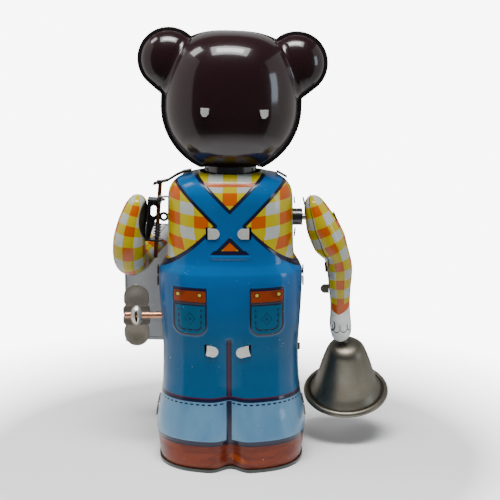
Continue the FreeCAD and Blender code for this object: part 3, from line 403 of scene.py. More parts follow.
def arm_material(name, wrist, seam_u, cuff_v, painted_mouth_shade=False):
    """Gingham sleeve with a white glove; u runs round the arm and v down it.

    The cuff and glove start from cuff_v and come to a point at u = wrist. Lines are drawn down the arm
    at each u of seam_u. With painted_mouth_shade, the closed shell gets painted shade: a near-black mouth
    at the shoulder, where the hollow of an open pressing would lie in shade, inside a grey rim.
    """
    mat, shader = new_material(name)
    u, v = uv_coords()
    paint = gingham(u, v, 3.4, 3.75, 3.5)
    point = abs(u - wrist)
    cuff = above(v - cuff_v - 1.9 + point * 0.15, 0.0)
    glove = above(v - cuff_v - 6.0 + point * 0.4, 0.0)
    paint(cuff, ORANGE)
    paint(cuff & above(noise(0.3, 3.0), 0.55, 0.1) * 0.5, srgb(212, 86, 20))
    paint(glove, GLOVE)
    finger = abs(Val.math("SINE", (u - wrist) * 0.9 + 0.5))
    tip = v - cuff_v - 12.4 - finger * 1.1
    tips = between(tip, -0.2, 0.24, 0.06) | (below(finger, 0.17, 0.05) & between(tip, -2.3, 0.1, 0.06))
    thumb = radius((u - wrist - 3.4) / 1.9, (v - cuff_v - 10.6) / 2.3)
    ink = (tips | between(thumb, 0.74, 1.04, 0.1) & above(v, cuff_v + 8.9)) & glove
    paint(ink, (0.008, 0.008, 0.02, 1))
    paint(glove & above(noise(0.3, 3.0), 0.56, 0.14) * 0.35, srgb(176, 178, 182))
    for place in seam_u:
        paint(between(u, place - 0.14, place + 0.14), SEAM_LINE)
    paint(between(mesh_value("side"), -0.28, 0.05), SEAM_LINE)
    if painted_mouth_shade:
        x, y, z = coords()
        lean = (z - 90.0) * 0.04
        mouth = radius((x - 28.9 + lean) / 4.4, (z - 90.3) / 8.4)
        near = above(y, -4.0)
        # Painted shade: near-black where the arm's hollow would show through its shoulder mouth; the grey
        # ring is the mouth's rim.
        paint(below(mouth, 1.0, 0.02) & near, (0.012, 0.011, 0.012, 1))
        paint(between(mouth, 0.99, 1.06, 0.02) & near, (0.3, 0.29, 0.26, 1))
    specks(paint, 0.76)
    tin_finish(paint, shader)
    return mat


def head_material():
    """Dark brown enamel; the face side has a tan muzzle, nose and round eyes."""
    mat, shader = new_material("enamel_head")
    x, y, z = coords()
    hx = x + (z - HEAD_PIVOT_Z) * HEAD_LEAN
    face = below(y, -0.7, 0.1)
    tan, ink = srgb(206, 150, 92), srgb(14, 10, 10)
    paint = Paint((0.014, 0.0045, 0.006, 1))
    paint(ramp(noise(0.05, 3.0), 2.4, -0.8) * 0.5, (0.022, 0.007, 0.009, 1))
    muzzle = radius(hx / 10.2, (z - 121.8) / 8.0)
    paint(face & below(muzzle, 1.0, 0.02), tan)
    paint(face & between(muzzle, 0.97, 1.05, 0.02), ink)
    nose = radius(hx / 3.9, (z - 126.2) / 2.6)
    smile = radius(hx, z - 122.6)
    mouth = between(hx, -0.3, 0.3) & between(z, 118.6, 124.4)
    mouth = mouth | (between(smile, 3.7, 4.3) & below(z, 121.4))
    paint(face & mouth, ink)
    paint(face & below(nose, 1.0, 0.05), ink)
    for sign in (-1, 1):
        sx = sign * EYE_X
        eye = radius((hx - sx) / 3.4, (z - 136.2) / 4.3)
        pupil = radius((hx - sx * 0.96) / 1.9, (z - 135.4) / 2.6)
        gleam = radius(hx - sx * 0.96 - 0.7, z - 136.5)
        paint(face & below(eye, 1.0, 0.05), srgb(232, 230, 220))
        paint(face & between(eye, 0.96, 1.14, 0.05), ink)
        paint(face & below(pupil, 1.0, 0.05), ink)
        paint(face & below(gleam, 0.7), srgb(240, 240, 240))
        brow = radius(hx - sx, z - 138.0)
        paint(face & between(brow, 6.0, 6.7) & above(z, 142.0), tan)
        inner_ear = radius(hx - sign * 23.6, z - EAR_Z)
        paint(face & below(inner_ear, 5.6), tan)
    specks(paint, 0.775, srgb(150, 140, 136))
    fixed(shader, Coat_Weight=1.0, Coat_Roughness=0.1, Specular_IOR_Level=0.1)
    height = noise(0.05, 2.0) + noise(2.2, 2.0) * 0.006
    paint.finish(shader, noise(0.2) * 0.12 + 0.26, height, 0.14, 0.0007)
    return mat


def enamel(name, colour, rough, coat=0.6, wear=0.74):
    """Plain dipped enamel with worn specks."""
    mat, shader = new_material(name)
    paint = Paint(colour)
    paint(above(noise(0.5, 3.0), 0.5, 0.3) * 0.3, tuple(c * 1.8 + 0.004 for c in colour[:3]) + (1.0,))
    specks(paint, wear, srgb(150, 146, 138))
    fixed(shader, Coat_Weight=coat, Coat_Roughness=0.08)
    paint.finish(shader, noise(0.8) * 0.2 + rough - 0.1, noise(1.2, 3.0), 0.1, FINE)
    return mat


def metal(name, colour, dark, rough, stretch=(1, 1, 1), tarnish=0.45, bare=1.0):
    """Bare metal with fine drawn grain and patchy tarnish."""
    mat, shader = new_material(name)
    paint = Paint(colour)
    paint(ramp(noise(0.12, 4.0), 2.6, -0.9) * tarnish, dark)
    lines = noise(2.2, 3.0, stretch, 0.6)
    paint(above(lines, 0.5, 0.25) * 0.22, dark)
    fixed(shader, Metallic=bare)
    paint.finish(shader, lines * 0.16 + noise(0.15, 3.0) * 0.18 + (rough - 0.16), lines, 0.12, FINE)
    return mat


def bell_material():
    """Spun steel: fine rings round the bell's own axis, and a dull patchy tone."""
    mat, shader = new_material("spun_steel")
    u, v = uv_coords()
    join, rings = new_node("CombineXYZ"), new_node("TexNoise")
    link(v * 6.0, join.inputs[0])
    link(Val.math("SINE", u * 0.06) * 0.5, join.inputs[1])
    fixed(rings, Scale=1.0, Detail=4.0)
    Val.tree.links.new(join.outputs[0], rings.inputs["Vector"])
    spun = Val(rings.outputs["Fac"])
    paint = Paint(srgb(124, 121, 110))
    paint(ramp(noise(0.1, 3.0), 2.4, -0.8) * 0.5, srgb(102, 91, 76))
    paint(above(spun, 0.52, 0.2) * 0.25, srgb(106, 102, 94))
    fixed(shader, Metallic=1.0)
    paint.finish(shader, spun * 0.12 + noise(0.2) * 0.1 + 0.32, spun, 0.08, FINE)
    return mat


def key_material():
    """Dull nickel plate, darker on the pressed shoulders and lighter on the boss."""
    mat, shader = new_material("key_nickel")
    x, _, z = coords()
    paint = Paint((0.3, 0.28, 0.24, 1))
    paint(ramp(noise(0.12, 4.0), 2.6, -0.9) * 0.6, (0.19, 0.16, 0.115, 1))
    rise = z - KEY_AT[2]
    shoulder = between(rise, 1.6, 3.4, 0.4) | between(rise, -3.6, -1.6, 0.4)
    paint(shoulder * 0.6, (0.08, 0.062, 0.042, 1))
    boss = radius((x - KEY_AT[0]) / BOSS_W, rise / BOSS_H)
    paint(below(boss, 1.0, 0.2), (0.75, 0.73, 0.68, 1))
    lines = noise(2.2, 3.0, (1, 1, 0.2), 0.6)
    paint(above(lines, 0.5, 0.25) * 0.2, (0.12, 0.1, 0.08, 1))
    fixed(shader, Metallic=0.8)
    paint.finish(shader, lines * 0.16 + noise(0.15, 3.0) * 0.18 + 0.26, lines, 0.12, FINE)
    return mat


def tab_material():
    """Black folded tabs; the lowest, at the wrist, is bare olive-grey metal."""
    mat, shader = new_material("tab_enamel")
    _, _, z = coords()
    paint = Paint((0.008, 0.008, 0.009, 1))
    bare = below(z, WRIST_TAB_Z)
    paint(bare, (0.15, 0.145, 0.11, 1))
    paint(bare & above(noise(0.5, 3.0), 0.5, 0.2) * 0.5, (0.07, 0.065, 0.045, 1))
    specks(paint, 0.74, (0.3, 0.3, 0.28, 1))
    paint.finish(shader, noise(0.8) * 0.2 + 0.24, noise(1.2, 3.0), 0.1, FINE)
    return mat


def paper_material():
    """Printed tin newspaper: plain greyed back, columns of bars on the front, a border on both."""
    mat, shader = new_material("litho_paper")
    u, v = uv_coords()
    paint = Paint(srgb(172, 174, 176))
    paint(above(noise(0.07, 4.0), 0.48, 0.2) * 0.4, srgb(148, 150, 154))
    au = abs(u)
    front = ~above(mesh_value("side"), 0.5, 0.1)
    column = wave(au, 8.6, 0.84, 1.3) & between(au, 1.2, 18.0)
    broken = above(noise(0.9, 1.0, (1, 1, 0.02)), 0.4, 0.05)
    text = column & wave(v, 1.5, 0.46) & between(v, 3.0, 34.0) & broken
    ink = srgb(70, 70, 76)
    paint(front & text * 0.75, ink)
    picture = front & between(u, 2.4, 16.6) & between(v, 18.0, 33.0)
    paint(picture, srgb(150, 150, 152))
    diamond = abs(u - 9.5) + abs(v - 25.5)
    paint(picture & (between(diamond, 4.2, 5.0) | below(diamond, 2.2)), ink)
    heading = between(v, 36.2, 36.7) | between(v, 42.1, 42.6)
    heading = heading | (wave(au, 4.4, 0.7, 0.7) & between(v, 38.0, 41.0))
    paint(front & between(v, 36.2, 42.6) & below(au, 17.4) & heading, ink)
    border = between(au, 18.35, 18.65) | between(v, 1.0, 1.3) | between(v, 45.9, 46.2)
    border = border & below(au, 18.65) & between(v, 1.0, 46.2)
    paint(border * 0.8, srgb(58, 60, 68))
    specks(paint, 0.76, srgb(225, 225, 225))
    tin_finish(paint, shader, 0.4, 0.5)
    return mat


# ---- meshes
def add_mesh(name, verts, faces, material, body, node=None, uv=None, side=None, normals=None):
    """One piece from vertices in mm, riding a body and replacing a CAD node, if it names one.

    uv is in mm and is stored in decimetres. side is a number for each vertex, which mesh_value reads.
    """
    verts = np.asarray(verts, float).reshape(-1, 3)
    mesh = bpy.data.meshes.new(name)
    mesh.from_pydata((verts * MM).tolist(), [], faces)
    if uv is not None:
        layer = mesh.uv_layers.new(name="sheet")
        loops = np.empty(len(mesh.loops), np.int32)
        mesh.loops.foreach_get("vertex_index", loops)
        layer.data.foreach_set("uv", (np.asarray(uv, float).reshape(-1, 2)[loops] / 100.0).ravel())
    if side is not None:
        attribute = mesh.attributes.new("side", "FLOAT", "POINT")
        attribute.data.foreach_set("value", np.asarray(side, float))
    mesh.polygons.foreach_set("use_smooth", np.full(len(mesh.polygons), True))
    if normals is not None:
        mesh.normals_split_custom_set_from_vertices([tuple(n) for n in normals])
    mesh.materials.append(material)
    obj = bpy.data.objects.new(name, mesh)
    bpy.context.scene.collection.objects.link(obj)
    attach(obj, body)
    if node:
        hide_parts(node)
    return obj


def grid_faces(rows, cols, closed=False, skip=None, flip=False):
    """Quads of a rows x cols grid of vertices; closed joins the last column to the first."""
    faces = []
    for r in range(rows - 1):
        for c in range(cols if closed else cols - 1):
            if skip is not None and skip[r, c]:
                continue
            n = (c + 1) % cols
            quad = (r * cols + c, r * cols + n, (r + 1) * cols + n, (r + 1) * cols + c)
            faces.append(quad[::-1] if flip else quad)
    return faces


def two_sided(faces, size):
    """Faces of a sheet, of its other side, size vertices on, and of the walls round every open edge."""
    edges = {}
    for f in faces:
        for a, b in zip(f, f[1:] + f[:1]):
            edges[(a, b)] = True
    walls = [(b, a, a + size, b + size) for a, b in edges if (b, a) not in edges]
    return faces + [tuple(i + size for i in f[::-1]) for f in faces] + walls


def sharpen(obj, degrees):
    """Sharp edges where a sheet's cut edge meets its face."""
    obj.data.set_sharp_from_angle(angle=radians(degrees))


def quad_mids(a):
    """Values at the middle of each quad of a grid."""
    return (a[:-1, :-1] + a[1:, 1:]) / 2


def lengths(points):
    """How far along a line each of its points lies."""
    steps = np.linalg.norm(np.diff(points, axis=0), axis=1)
    return np.concatenate([[0], np.cumsum(steps)])


def hump(a, width):
    """exp(-(a/width)^2)."""
    return np.exp(-(a / width) ** 2)


def root(a):
    """Square root, 0 below 0."""
    return np.sqrt(np.maximum(a, 0.0))


def grid_normals(points):
    """Unit normals of a rows x cols x 3 grid, from central differences."""
    normal = np.cross(np.gradient(points, axis=1), np.gradient(points, axis=0))
    return normal / np.maximum(np.linalg.norm(normal, axis=2, keepdims=True), 1e-9)


def step(a, b, width):
    """Smooth 0 to 1 as a passes b."""
    t = np.clip((a - b) / width + 0.5, 0, 1)
    return t * t * (3 - 2 * t)


def fall(a, b, width):
    """Smooth 1 to 0 as a passes b."""
    return 1 - step(a, b, width)


def smooth_table(table, at):
    """Rows of a table interpolated by its first column with a monotone cubic."""
    table = np.array(table, float)
    x, y = table[:, 0], table[:, 1:]
    h = np.diff(x)[:, None]
    slope = np.diff(y, axis=0) / h
    tangent = np.zeros_like(y)
    tangent[0], tangent[-1] = slope[0], slope[-1]
    for i in range(1, len(x) - 1):
        same = slope[i - 1] * slope[i] > 0
        wa, wb = 2 * h[i] + h[i - 1], h[i] + 2 * h[i - 1]
        with np.errstate(divide="ignore", invalid="ignore"):
            mean = (wa + wb) / (wa / slope[i - 1] + wb / slope[i])
        tangent[i] = np.where(same, mean, 0)
    k = np.clip(np.searchsorted(x, at) - 1, 0, len(x) - 2)
    t = ((at - x[k]) / h[k, 0])[:, None]
    a, b, ta, tb = y[k], y[k + 1], tangent[k] * h[k], tangent[k + 1] * h[k]
    ends = (2 * t**3 - 3 * t**2 + 1) * a + (3 * t**2 - 2 * t**3) * b
    return ends + (t**3 - 2 * t**2 + t) * ta + (t**3 - t**2) * tb


# ---- body
# Height, half width, depth of the back and of the front, power of the outline, depth of the groove.
BODY = [
    (1.2, 26.7, 23.5, 30, 2.5, 4.8), (3.5, 27.1, 24, 31, 2.5, 4.7),
    (7.5, 27.5, 24, 30.2, 2.5, 4.2), (12, 27.7, 23.6, 27.2, 2.5, 3.3),
    (18, 27, 22.3, 23.2, 2.5, 2.2), (24, 25.9, 20.9, 21.2, 2.5, 1.3),
    (32, 25.2, 19.7, 20, 2.5, 0.7), (42, 25, 19.3, 20, 2.5, 0.25),
    (52, 25.5, 19.5, 21, 2.5, 0), (62, 26.1, 19.8, 21.6, 2.5, 0),
    (69, 26.3, 19.8, 20.8, 2.5, 0), (72.4, 26.1, 19.5, 20, 2.5, 0),
    (74.6, 24.9, 18.7, 18.9, 2.5, 0), (76.6, 23.7, 18, 18, 2.5, 0),
    (80, 23.2, 17.6, 17.5, 2.5, 0), (90, 23, 17.3, 17.2, 2.5, 0),
    (97, 22.9, 16.8, 16.8, 2.5, 0), (101, 22.5, 16, 16, 2.5, 0),
    (103.4, 21.4, 15, 15, 2.45, 0), (105.3, 19.6, 13.9, 13.9, 2.4, 0),
    (106.8, 16.8, 12.6, 12.6, 2.3, 0), (107.8, 13.6, 11.5, 11.5, 2.1, 0),
    (108.2, 11.2, 10.8, 10.8, 2, 0),
]
# The plates' lug slots as x0, x1, z0, z1, and the side holes as y, z, radius.
SLOTS = [(6.9, 8.6, 85.6, 90.2), (7.1, 9.2, 42.9, 47.5), (-7.7, -6.0, 85.6, 90.2), (-7.5, -5.4, 42.9, 47.5)]
HOLES_LEFT = [(KEY_AT[1], KEY_AT[2], 2.2), (0.0, SHOULDER_Z, 1.15), (2.6, 98.9, 1.1)]
HOLES_RIGHT = [(0.0, SHOULDER_Z, 3.15)]
STOP_Z = 41.6  # middle of the stop lever's slot
BODY_TOP, BODY_TIN, ARM_TIN = 108.2, 0.55, 0.5


def relief(x, z, back):
    """How far the pressing stands out of the plain body, mm."""
    ax = np.abs(x)
    if back:
        p, q = z - ax, z + ax
        line = STRAP_HIGH - ax + YOKE_BEND * np.maximum(ax - YOKE_X, 0) ** 2
        strap = step(p, STRAP_LOW + 0.3, 1.1) * fall(p, STRAP_HIGH - 0.1, 1.1)
        triangle = fall(q, STRAP_LOW, 1.1) * step(z, TRIANGLE_Z, 1.1)
        cloth = np.maximum(strap, fall(z, line, 1.1) * (1 - triangle))
        h = 0.22 * cloth - 0.06 * hump(z - line, 0.5) * (p < STRAP_LOW)
        h += 0.45 * hump(z - 79.3, 0.75) * fall(ax, 7.2, 1.6)
        px = np.abs(x - POCKET_MID) - POCKET_X
        corner = np.hypot(np.maximum(np.abs(px) - POCKET_FLAT, 0), np.maximum(POCKET_Z - z, 0))
        h += 0.3 * fall(corner, 4.0, 0.9) * fall(z, 68.2, 0.8) * step(z, 48.0, 1.0)
        h += 0.16 * fall(np.abs(px), 6.1, 0.6) * step(z, 62.7, 0.8) * fall(z, 68.2, 0.8)
    else:
        line = BIB_Z - np.maximum(ax - BIB_X, 0) * BIB_FALL
        place = BRACE_X + (z - BRACE_Z) * BRACE_LEAN
        strap = fall(np.abs(ax - place), 2.8, 0.9) * step(z, 93.0, 1.0)
        h = 0.45 * np.maximum(fall(z, line, 1.0), strap)
        h += 0.2 * fall(ax, 7.1, 0.8) * step(z, 77.6, 0.8) * fall(z, 89.4, 0.8)
        h += 0.45 * hump((ax - BUTTON_X) ** 2 + (z - BUTTON_Z) ** 2, 3.6)
    h -= 0.36 * hump(np.abs(x - LEG_X), 0.8) * fall(z, LEG_TOP, 1.5) * step(z, 9.6, 2.0)
    cuff = CUFF_Z + CUFF_RISE * hump(x - LEG_X, CUFF_RISE_W)
    h += 0.1 * fall(z, cuff, 1.0) * step(z, 11.2, 1.0)
    h -= 0.1 * hump(z - 11.0, 0.7)
    h -= 0.5 * fall(z, 10.0, 3.0)
    return h * fall(z, 106.9, 1.0)


def body_half(back, material):
    """One pressing of the body as a thin shell, with its slots and side holes open."""
    # Rows are closer where the shoulders curve in.
    low, high = np.arange(1.2, 103.0, 0.42), np.arange(103.0, BODY_TOP + 0.01, 0.25)
    zs = np.unique(np.concatenate([low, high, [BODY_TOP]]))
    if back:
        for edge in {e for s in SLOTS for e in s[2:]}:
            zs[np.argmin(np.abs(zs - edge))] = edge
    rows = smooth_table(BODY, zs)
    w, side = rows[:, 0:1], rows[:, 1:2] if back else rows[:, 2:3]
    power, groove = rows[:, 3:4], rows[:, 4:5]
    cols = 201
    # Columns are even along a superellipse of the usual power, so the corners stay fine.
    t = np.linspace(0, pi, 4001)
    ex = 26 * np.sign(np.cos(t)) * np.abs(np.cos(t)) ** 0.8
    ey = 20 * np.abs(np.sin(t)) ** 0.8
    run = lengths(np.stack([ex, ey], axis=1))
    ts = np.interp(np.linspace(0, run[-1], cols), run, t)
    arc = np.linspace(run[-1] / 2, -run[-1] / 2, cols)
    c, s = np.cos(ts)[None, :], np.sin(ts)[None, :]
    x = w * np.sign(c) * np.abs(c) ** (2 / power)
    if back:
        for x0, x1, z0, z1 in SLOTS:
            # The nearest columns are drawn to the slot's edges.
            near = hump(np.maximum(np.abs(zs - (z0 + z1) / 2) - 2.6, 0), 1.0)[:, None]
            mid = np.argmin(np.abs(zs - (z0 + z1) / 2))
            for edge in (x0, x1):
                k = np.argmin(np.abs(x[mid] - edge))
                hat = np.maximum(0, 1 - np.abs(np.arange(cols) - k) / 2.0)[None, :]
                x = x + (edge - x[mid, k]) * hat * near
    u = np.clip(np.abs(x) / w, 0, 1)
    flank = np.abs(s) ** (2 / power)
    y = np.where(u < 0.9, (1 - u ** power) ** (1 / power), flank)
    y = side * y - groove * hump(x, 3.8) * flank
    y = y if back else -y
    z = np.broadcast_to(zs[:, None], x.shape)
    base = np.stack([x, y, z], axis=2)
    normal = grid_normals(base)
    outward = np.sign(np.sum(normal * np.stack([x, y, z * 0], axis=2), axis=2, keepdims=True))
    normal *= np.where(outward == 0, 1, outward)
    fade = np.minimum(np.abs(y) / 3.0, 1.0)
    outer = base + normal * (relief(x, z, back) * fade)[:, :, None]
    outer[:, 0, 1] = outer[:, -1, 1] = 0.0
    inner = base - normal * BODY_TIN
    inner[:, 0, 1] = inner[:, -1, 1] = 0.0
    n = len(zs)
    cut = np.zeros((n - 1, cols - 1), bool)
    mx, my, mz = quad_mids(x), quad_mids(y), quad_mids(z)
    if back:
        for x0, x1, z0, z1 in SLOTS:
            cut |= (mx > x0) & (mx < x1) & (mz > z0) & (mz < z1)
    for sign, holes in ((1, HOLES_LEFT), (-1, HOLES_RIGHT)):
        for hy, hz, r in holes:
            cut |= (mx * sign > 18) & ((my - hy) ** 2 + (mz - hz) ** 2 < r * r)
    cut |= (mx < -20) & (np.abs(my) < 0.6) & (np.abs(mz - STOP_Z) < 3.0)
    faces = two_sided(grid_faces(n, cols, skip=cut, flip=back), n * cols)
    verts = np.concatenate([outer.reshape(-1, 3), inner.reshape(-1, 3)])
    uv = np.stack([np.broadcast_to(arc[None, :], x.shape), z], axis=2).reshape(-1, 2)
    name = "body_back" if back else "body_front"
    obj = add_mesh(name + "_tin", verts, faces, material, "body", name, np.concatenate([uv, uv]))
    sharpen(obj, 40)


# ---- head
def head_set(points):
    """The head's small roll about the neck."""
    a = radians(HEAD_ROLL)
    out = points.copy()
    x, z = points[..., 0], points[..., 2] - HEAD_PIVOT_Z
    out[..., 0] = x * cos(a) + z * sin(a)
    out[..., 2] = HEAD_PIVOT_Z - x * sin(a) + z * cos(a)
    return out


def ear_distance(x, z):
    """Distance in the seam plane from the line that each ear is pressed along, towards the head."""
    root_x, root_z = 12.0, 139.0
    ax, az = EAR_X - root_x, EAR_Z - root_z
    px, pz = np.abs(x) - root_x, z - root_z
    t = np.clip((px * ax + pz * az) / (ax * ax + az * az), 0, 1)
    return np.hypot(px - t * ax, pz - t * az)


def head_field(p, depth, front):
    """Signed distance, nearly, from the head pressing: dome, ears and muzzle blended."""
    x, y, z = p[..., 0], p[..., 1], p[..., 2] - HEAD_Z
    rho = np.sqrt(x * x + (y * HEAD_W / depth) ** 2)
    up = z > 0
    power = np.where(up, 2.8, 2.0)
    height = np.where(up, HEAD_UP, HEAD_DOWN)
    dome = ((rho / HEAD_W) ** power + (np.abs(z) / height) ** power) ** (1 / power) - 1
    f = dome * 21
    ears = (np.hypot(ear_distance(x, p[..., 2]) / EAR_R, y / EAR_DEPTH) - 1) * EAR_DEPTH
    bulges = [(ears, 1.8)]
    if front:
        size = np.array([10.5, 9.5, 8.6])
        muzzle = np.linalg.norm((p - np.array([0, -15.0, 122.5])) / size, axis=-1) - 1
        bulges.append((muzzle * size[2], 1.6))
    # Each bulge is blended in over k mm.
    for g, k in bulges:
        h = np.clip(0.5 + 0.5 * (g - f) / k, 0, 1)
        f = g * (1 - h) + f * h - k * h * (1 - h) * 0.6
    return f


def head_half(front, material):
    """Dome, ears and muzzle as one smooth surface found along rays from the head's middle."""
    depth = 19.0 if front else 20.0
    rows, cols = 300, 360
    polar = np.linspace(0, pi, rows)[:, None]
    turn = np.linspace(0, pi, cols)[None, :]
    d = np.stack([np.sin(polar) * np.cos(turn), np.sin(polar) * np.sin(turn) * (-1 if front else 1),
                  np.cos(polar) + 0 * turn], axis=2)
    centre = np.array([0, 0, HEAD_Z])
    nearest, furthest, stride = 14.0, 42.0, 0.5
    low, high = np.full(d.shape[:2], nearest), np.full(d.shape[:2], furthest)
    # The outermost crossing is bracketed first, so that the far side of an ear isn't missed.
    for r in np.arange(furthest, nearest, -stride):
        inside = head_field(centre + d * r, depth, front) < 0
        fresh = inside & (low == nearest)
        low[fresh], high[fresh] = r, r + stride
    for _ in range(24):
        mid = (low + high) / 2
        inside = head_field(centre + d * mid[..., None], depth, front) < 0
        low, high = np.where(inside, mid, low), np.where(inside, high, mid)
    points = centre + d * ((low + high) / 2)[..., None]
    eps = 0.02
    grad = np.stack([head_field(points + np.eye(3)[i] * eps, depth, front)
                     - head_field(points - np.eye(3)[i] * eps, depth, front) for i in range(3)], axis=2)
    grad /= np.linalg.norm(grad, axis=2, keepdims=True)
    pivot = np.array([0, 0, HEAD_PIVOT_Z])
    tilt = head_set(grad + pivot) - pivot
    points = head_set(points)
    keep = points[:, :, 2] > HEAD_FOOT
    cut = ~(keep[:-1, :-1] & keep[1:, 1:])
    if not front:
        px, pz = points[:-1, :-1, 0], points[:-1, :-1, 2]
        hx = px + (pz - HEAD_PIVOT_Z) * HEAD_LEAN
        for sx in LUG_HOLE_X:
            cut |= (np.abs(hx - sx) < 1.6) & (np.abs(pz - LUG_HOLE_Z - sx * HEAD_LEAN) < 0.42)
    name = "head_front" if front else "head_back"
    faces = grid_faces(rows, cols, skip=cut, flip=not front)
    add_mesh(name + "_tin", points, faces, material, "head", name,
             normals=tilt.reshape(-1, 3))


def seam_ring(front, material):
    """The crimped flange round one half of the head, with a rolled edge."""
    angle = np.linspace(0, 2 * pi, 721)[:-1]
    c, s = np.cos(angle), np.sin(angle)
    grow = 1.15 if front else 1.4
    w, power = HEAD_W + grow, np.where(s > 0, 2.8, 2.0)
    height = np.where(s > 0, HEAD_UP + 0.2, HEAD_DOWN + grow)
    r = (np.abs(c / w) ** power + np.abs(s / height) ** power) ** (-1 / power)
    ear_r = EAR_R + grow - 0.2
    reach = np.arange(20.0, 45.0, 0.02)[:, None]
    in_ear = ear_distance(reach * c, HEAD_Z + reach * s) < ear_r
    r = np.maximum(r, np.max(np.where(in_ear, reach, 0), axis=0))
    sign = -1 if front else 1
    # The flange's section, as how far out and how far from the seam plane.
    profile = [(-3.2, 0.52), (-0.5, 0.55), (-0.2, 0.5), (-0.05, 0.38), (0.0, 0.25), (-0.05, 0.1),
               (-0.2, 0.03), (-3.2, 0.03)]
    rings = []
    for dr, dy in profile:
        reach = r + dr
        rings.append(np.stack([reach * c, np.full_like(r, sign * dy), HEAD_Z + reach * s], axis=1))
    points = head_set(np.array(rings))
    faces = grid_faces(len(profile), len(angle), closed=True, flip=not front)
    keep = points.reshape(-1, 3)[:, 2] > HEAD_FOOT - 1.1
    faces = [f for f in faces if all(keep[i] for i in f)]
    name = "head_seam_front" if front else "head_seam_back"
    add_mesh(name, points, faces, material, "head")


# ---- arms
# Each arm's middle line as x, y, z, with the half width across and the half depth.
BELL_ARM = [
    (-29.5, -0.5, 98.8, 1.4, 1.8), (-30.2, -0.5, 96.7, 3.3, 4.6), (-32.2, -0.5, 91.4, 5.1, 6.4),
    (-34.1, -1, 86.8, 6.2, 7), (-36.4, -1.5, 81.6, 6.4, 6.8), (-39.4, -2.2, 75.9, 4.9, 5.7),
    (-40.6, -3.2, 70.4, 4.8, 4.8), (-40.9, -5, 62, 4.1, 4.4), (-41.2, -6.5, 55.5, 3.8, 4.1),
    (-41.3, -7.2, 52.2, 3.9, 4.2), (-41.5, -8, 48.4, 4.2, 4.4), (-41.9, -8.7, 44.4, 3.9, 4.1),
    (-42.4, -9.1, 42, 2.6, 2.8), (-42.7, -9.2, 41.1, 1, 1.1),
]
PAPER_ARM = [
    (33.6, 0.3, 99.4, 1.4, 1.6), (33.9, 0.3, 97.2, 3.3, 4.2), (35.2, 0.2, 92.5, 4.6, 6),
    (36.6, 0, 87, 5.4, 6.8), (37.4, -0.3, 81.5, 6, 7), (37.6, -2, 76.3, 6.1, 6.4),
    (37.1, -5.6, 73, 5.8, 5.4), (35.6, -10.2, 72.4, 5.1, 4.8), (33, -15.2, 74, 4.4, 4.4),
    (30.4, -19.2, 76.4, 3.9, 4.2), (28.4, -22, 78.5, 4.2, 4.3), (26.8, -24.3, 80.4, 3.9, 4),
    (25.8, -25.6, 81.6, 2.4, 2.6), (25.4, -26.1, 82.1, 0.9, 1),
]


def arm_surface(path):
    """Points of an arm's swept tube with rounded ends, their u and v, each column's side and row's width."""
    rows, cols = 220, 120
    path = np.array(path, float)
    run = lengths(path[:, :3])
    at = np.linspace(0, run[-1], rows)
    table = smooth_table(np.column_stack([run, path]), at)
    centre, a, b = table[:, :3], table[:, 3], table[:, 4]
    along = np.gradient(centre, axis=0)
    kernel = np.hanning(13) / np.hanning(13).sum()
    padded = np.pad(along, ((6, 6), (0, 0)), mode="edge")
    along = np.stack([np.convolve(padded[:, i], kernel, "valid") for i in range(3)], axis=1)
    along /= np.linalg.norm(along, axis=1, keepdims=True)
    depth = np.cross(along, np.array([1.0, 0, 0]))
    depth /= np.linalg.norm(depth, axis=1, keepdims=True)
    across = np.cross(depth, along)
    # Round the two tips over a few short rings.
    ends = np.minimum(1.0, np.minimum(np.arange(rows), np.arange(rows)[::-1]) / 3.0)
    ends = root(1 - (1 - ends) ** 2) + 1e-3
    t = np.linspace(-pi / 2 - pi, -pi / 2 + pi, cols + 1)
    ca, sa = np.cos(t)[None, :, None], np.sin(t)[None, :, None]
    wide, deep = (a * ends)[:, None, None], (b * ends)[:, None, None]
    points = centre[:, None] + across[:, None] * wide * ca + depth[:, None] * deep * sa
    size = np.sqrt((a ** 2 + b ** 2) / 2).mean()
    u = np.broadcast_to(((t + pi / 2) * size)[None, :], points.shape[:2])
    v = np.broadcast_to(at[:, None], points.shape[:2])
    return points, u, v, ca[0, :, 0], a


def sheet_band(points, u, v, keep):
    """Vertices, faces and uv of the kept part of a grid, given a thickness inwards."""
    rows, cols = points.shape[:2]
    normal = grid_normals(points)
    centre = points.mean(axis=1, keepdims=True)
    normal *= np.sign(np.sum(normal * (points - centre), axis=2, keepdims=True))
    order = np.sum(np.cross(points[:-1, 1:] - points[:-1, :-1], points[1:, :-1] - points[:-1, :-1])
                   * (points[:-1, :-1] - centre[:-1]), axis=2)
    faces = two_sided(grid_faces(rows, cols, skip=~keep, flip=bool(np.median(order) < 0)), rows * cols)
    verts = np.concatenate([points.reshape(-1, 3), (points - normal * ARM_TIN).reshape(-1, 3)])
    uv = np.stack([u, v], axis=2).reshape(-1, 2)
    return verts, faces, np.concatenate([uv, uv])


def used_only(verts, faces, *extra):
    """Drops the vertices that no face uses."""
    used = np.unique(np.array([i for f in faces for i in f]))
    place = np.full(len(verts), -1)
    place[used] = np.arange(len(used))
    return [verts[used], [tuple(place[list(f)]) for f in faces]] + [e[used] for e in extra]


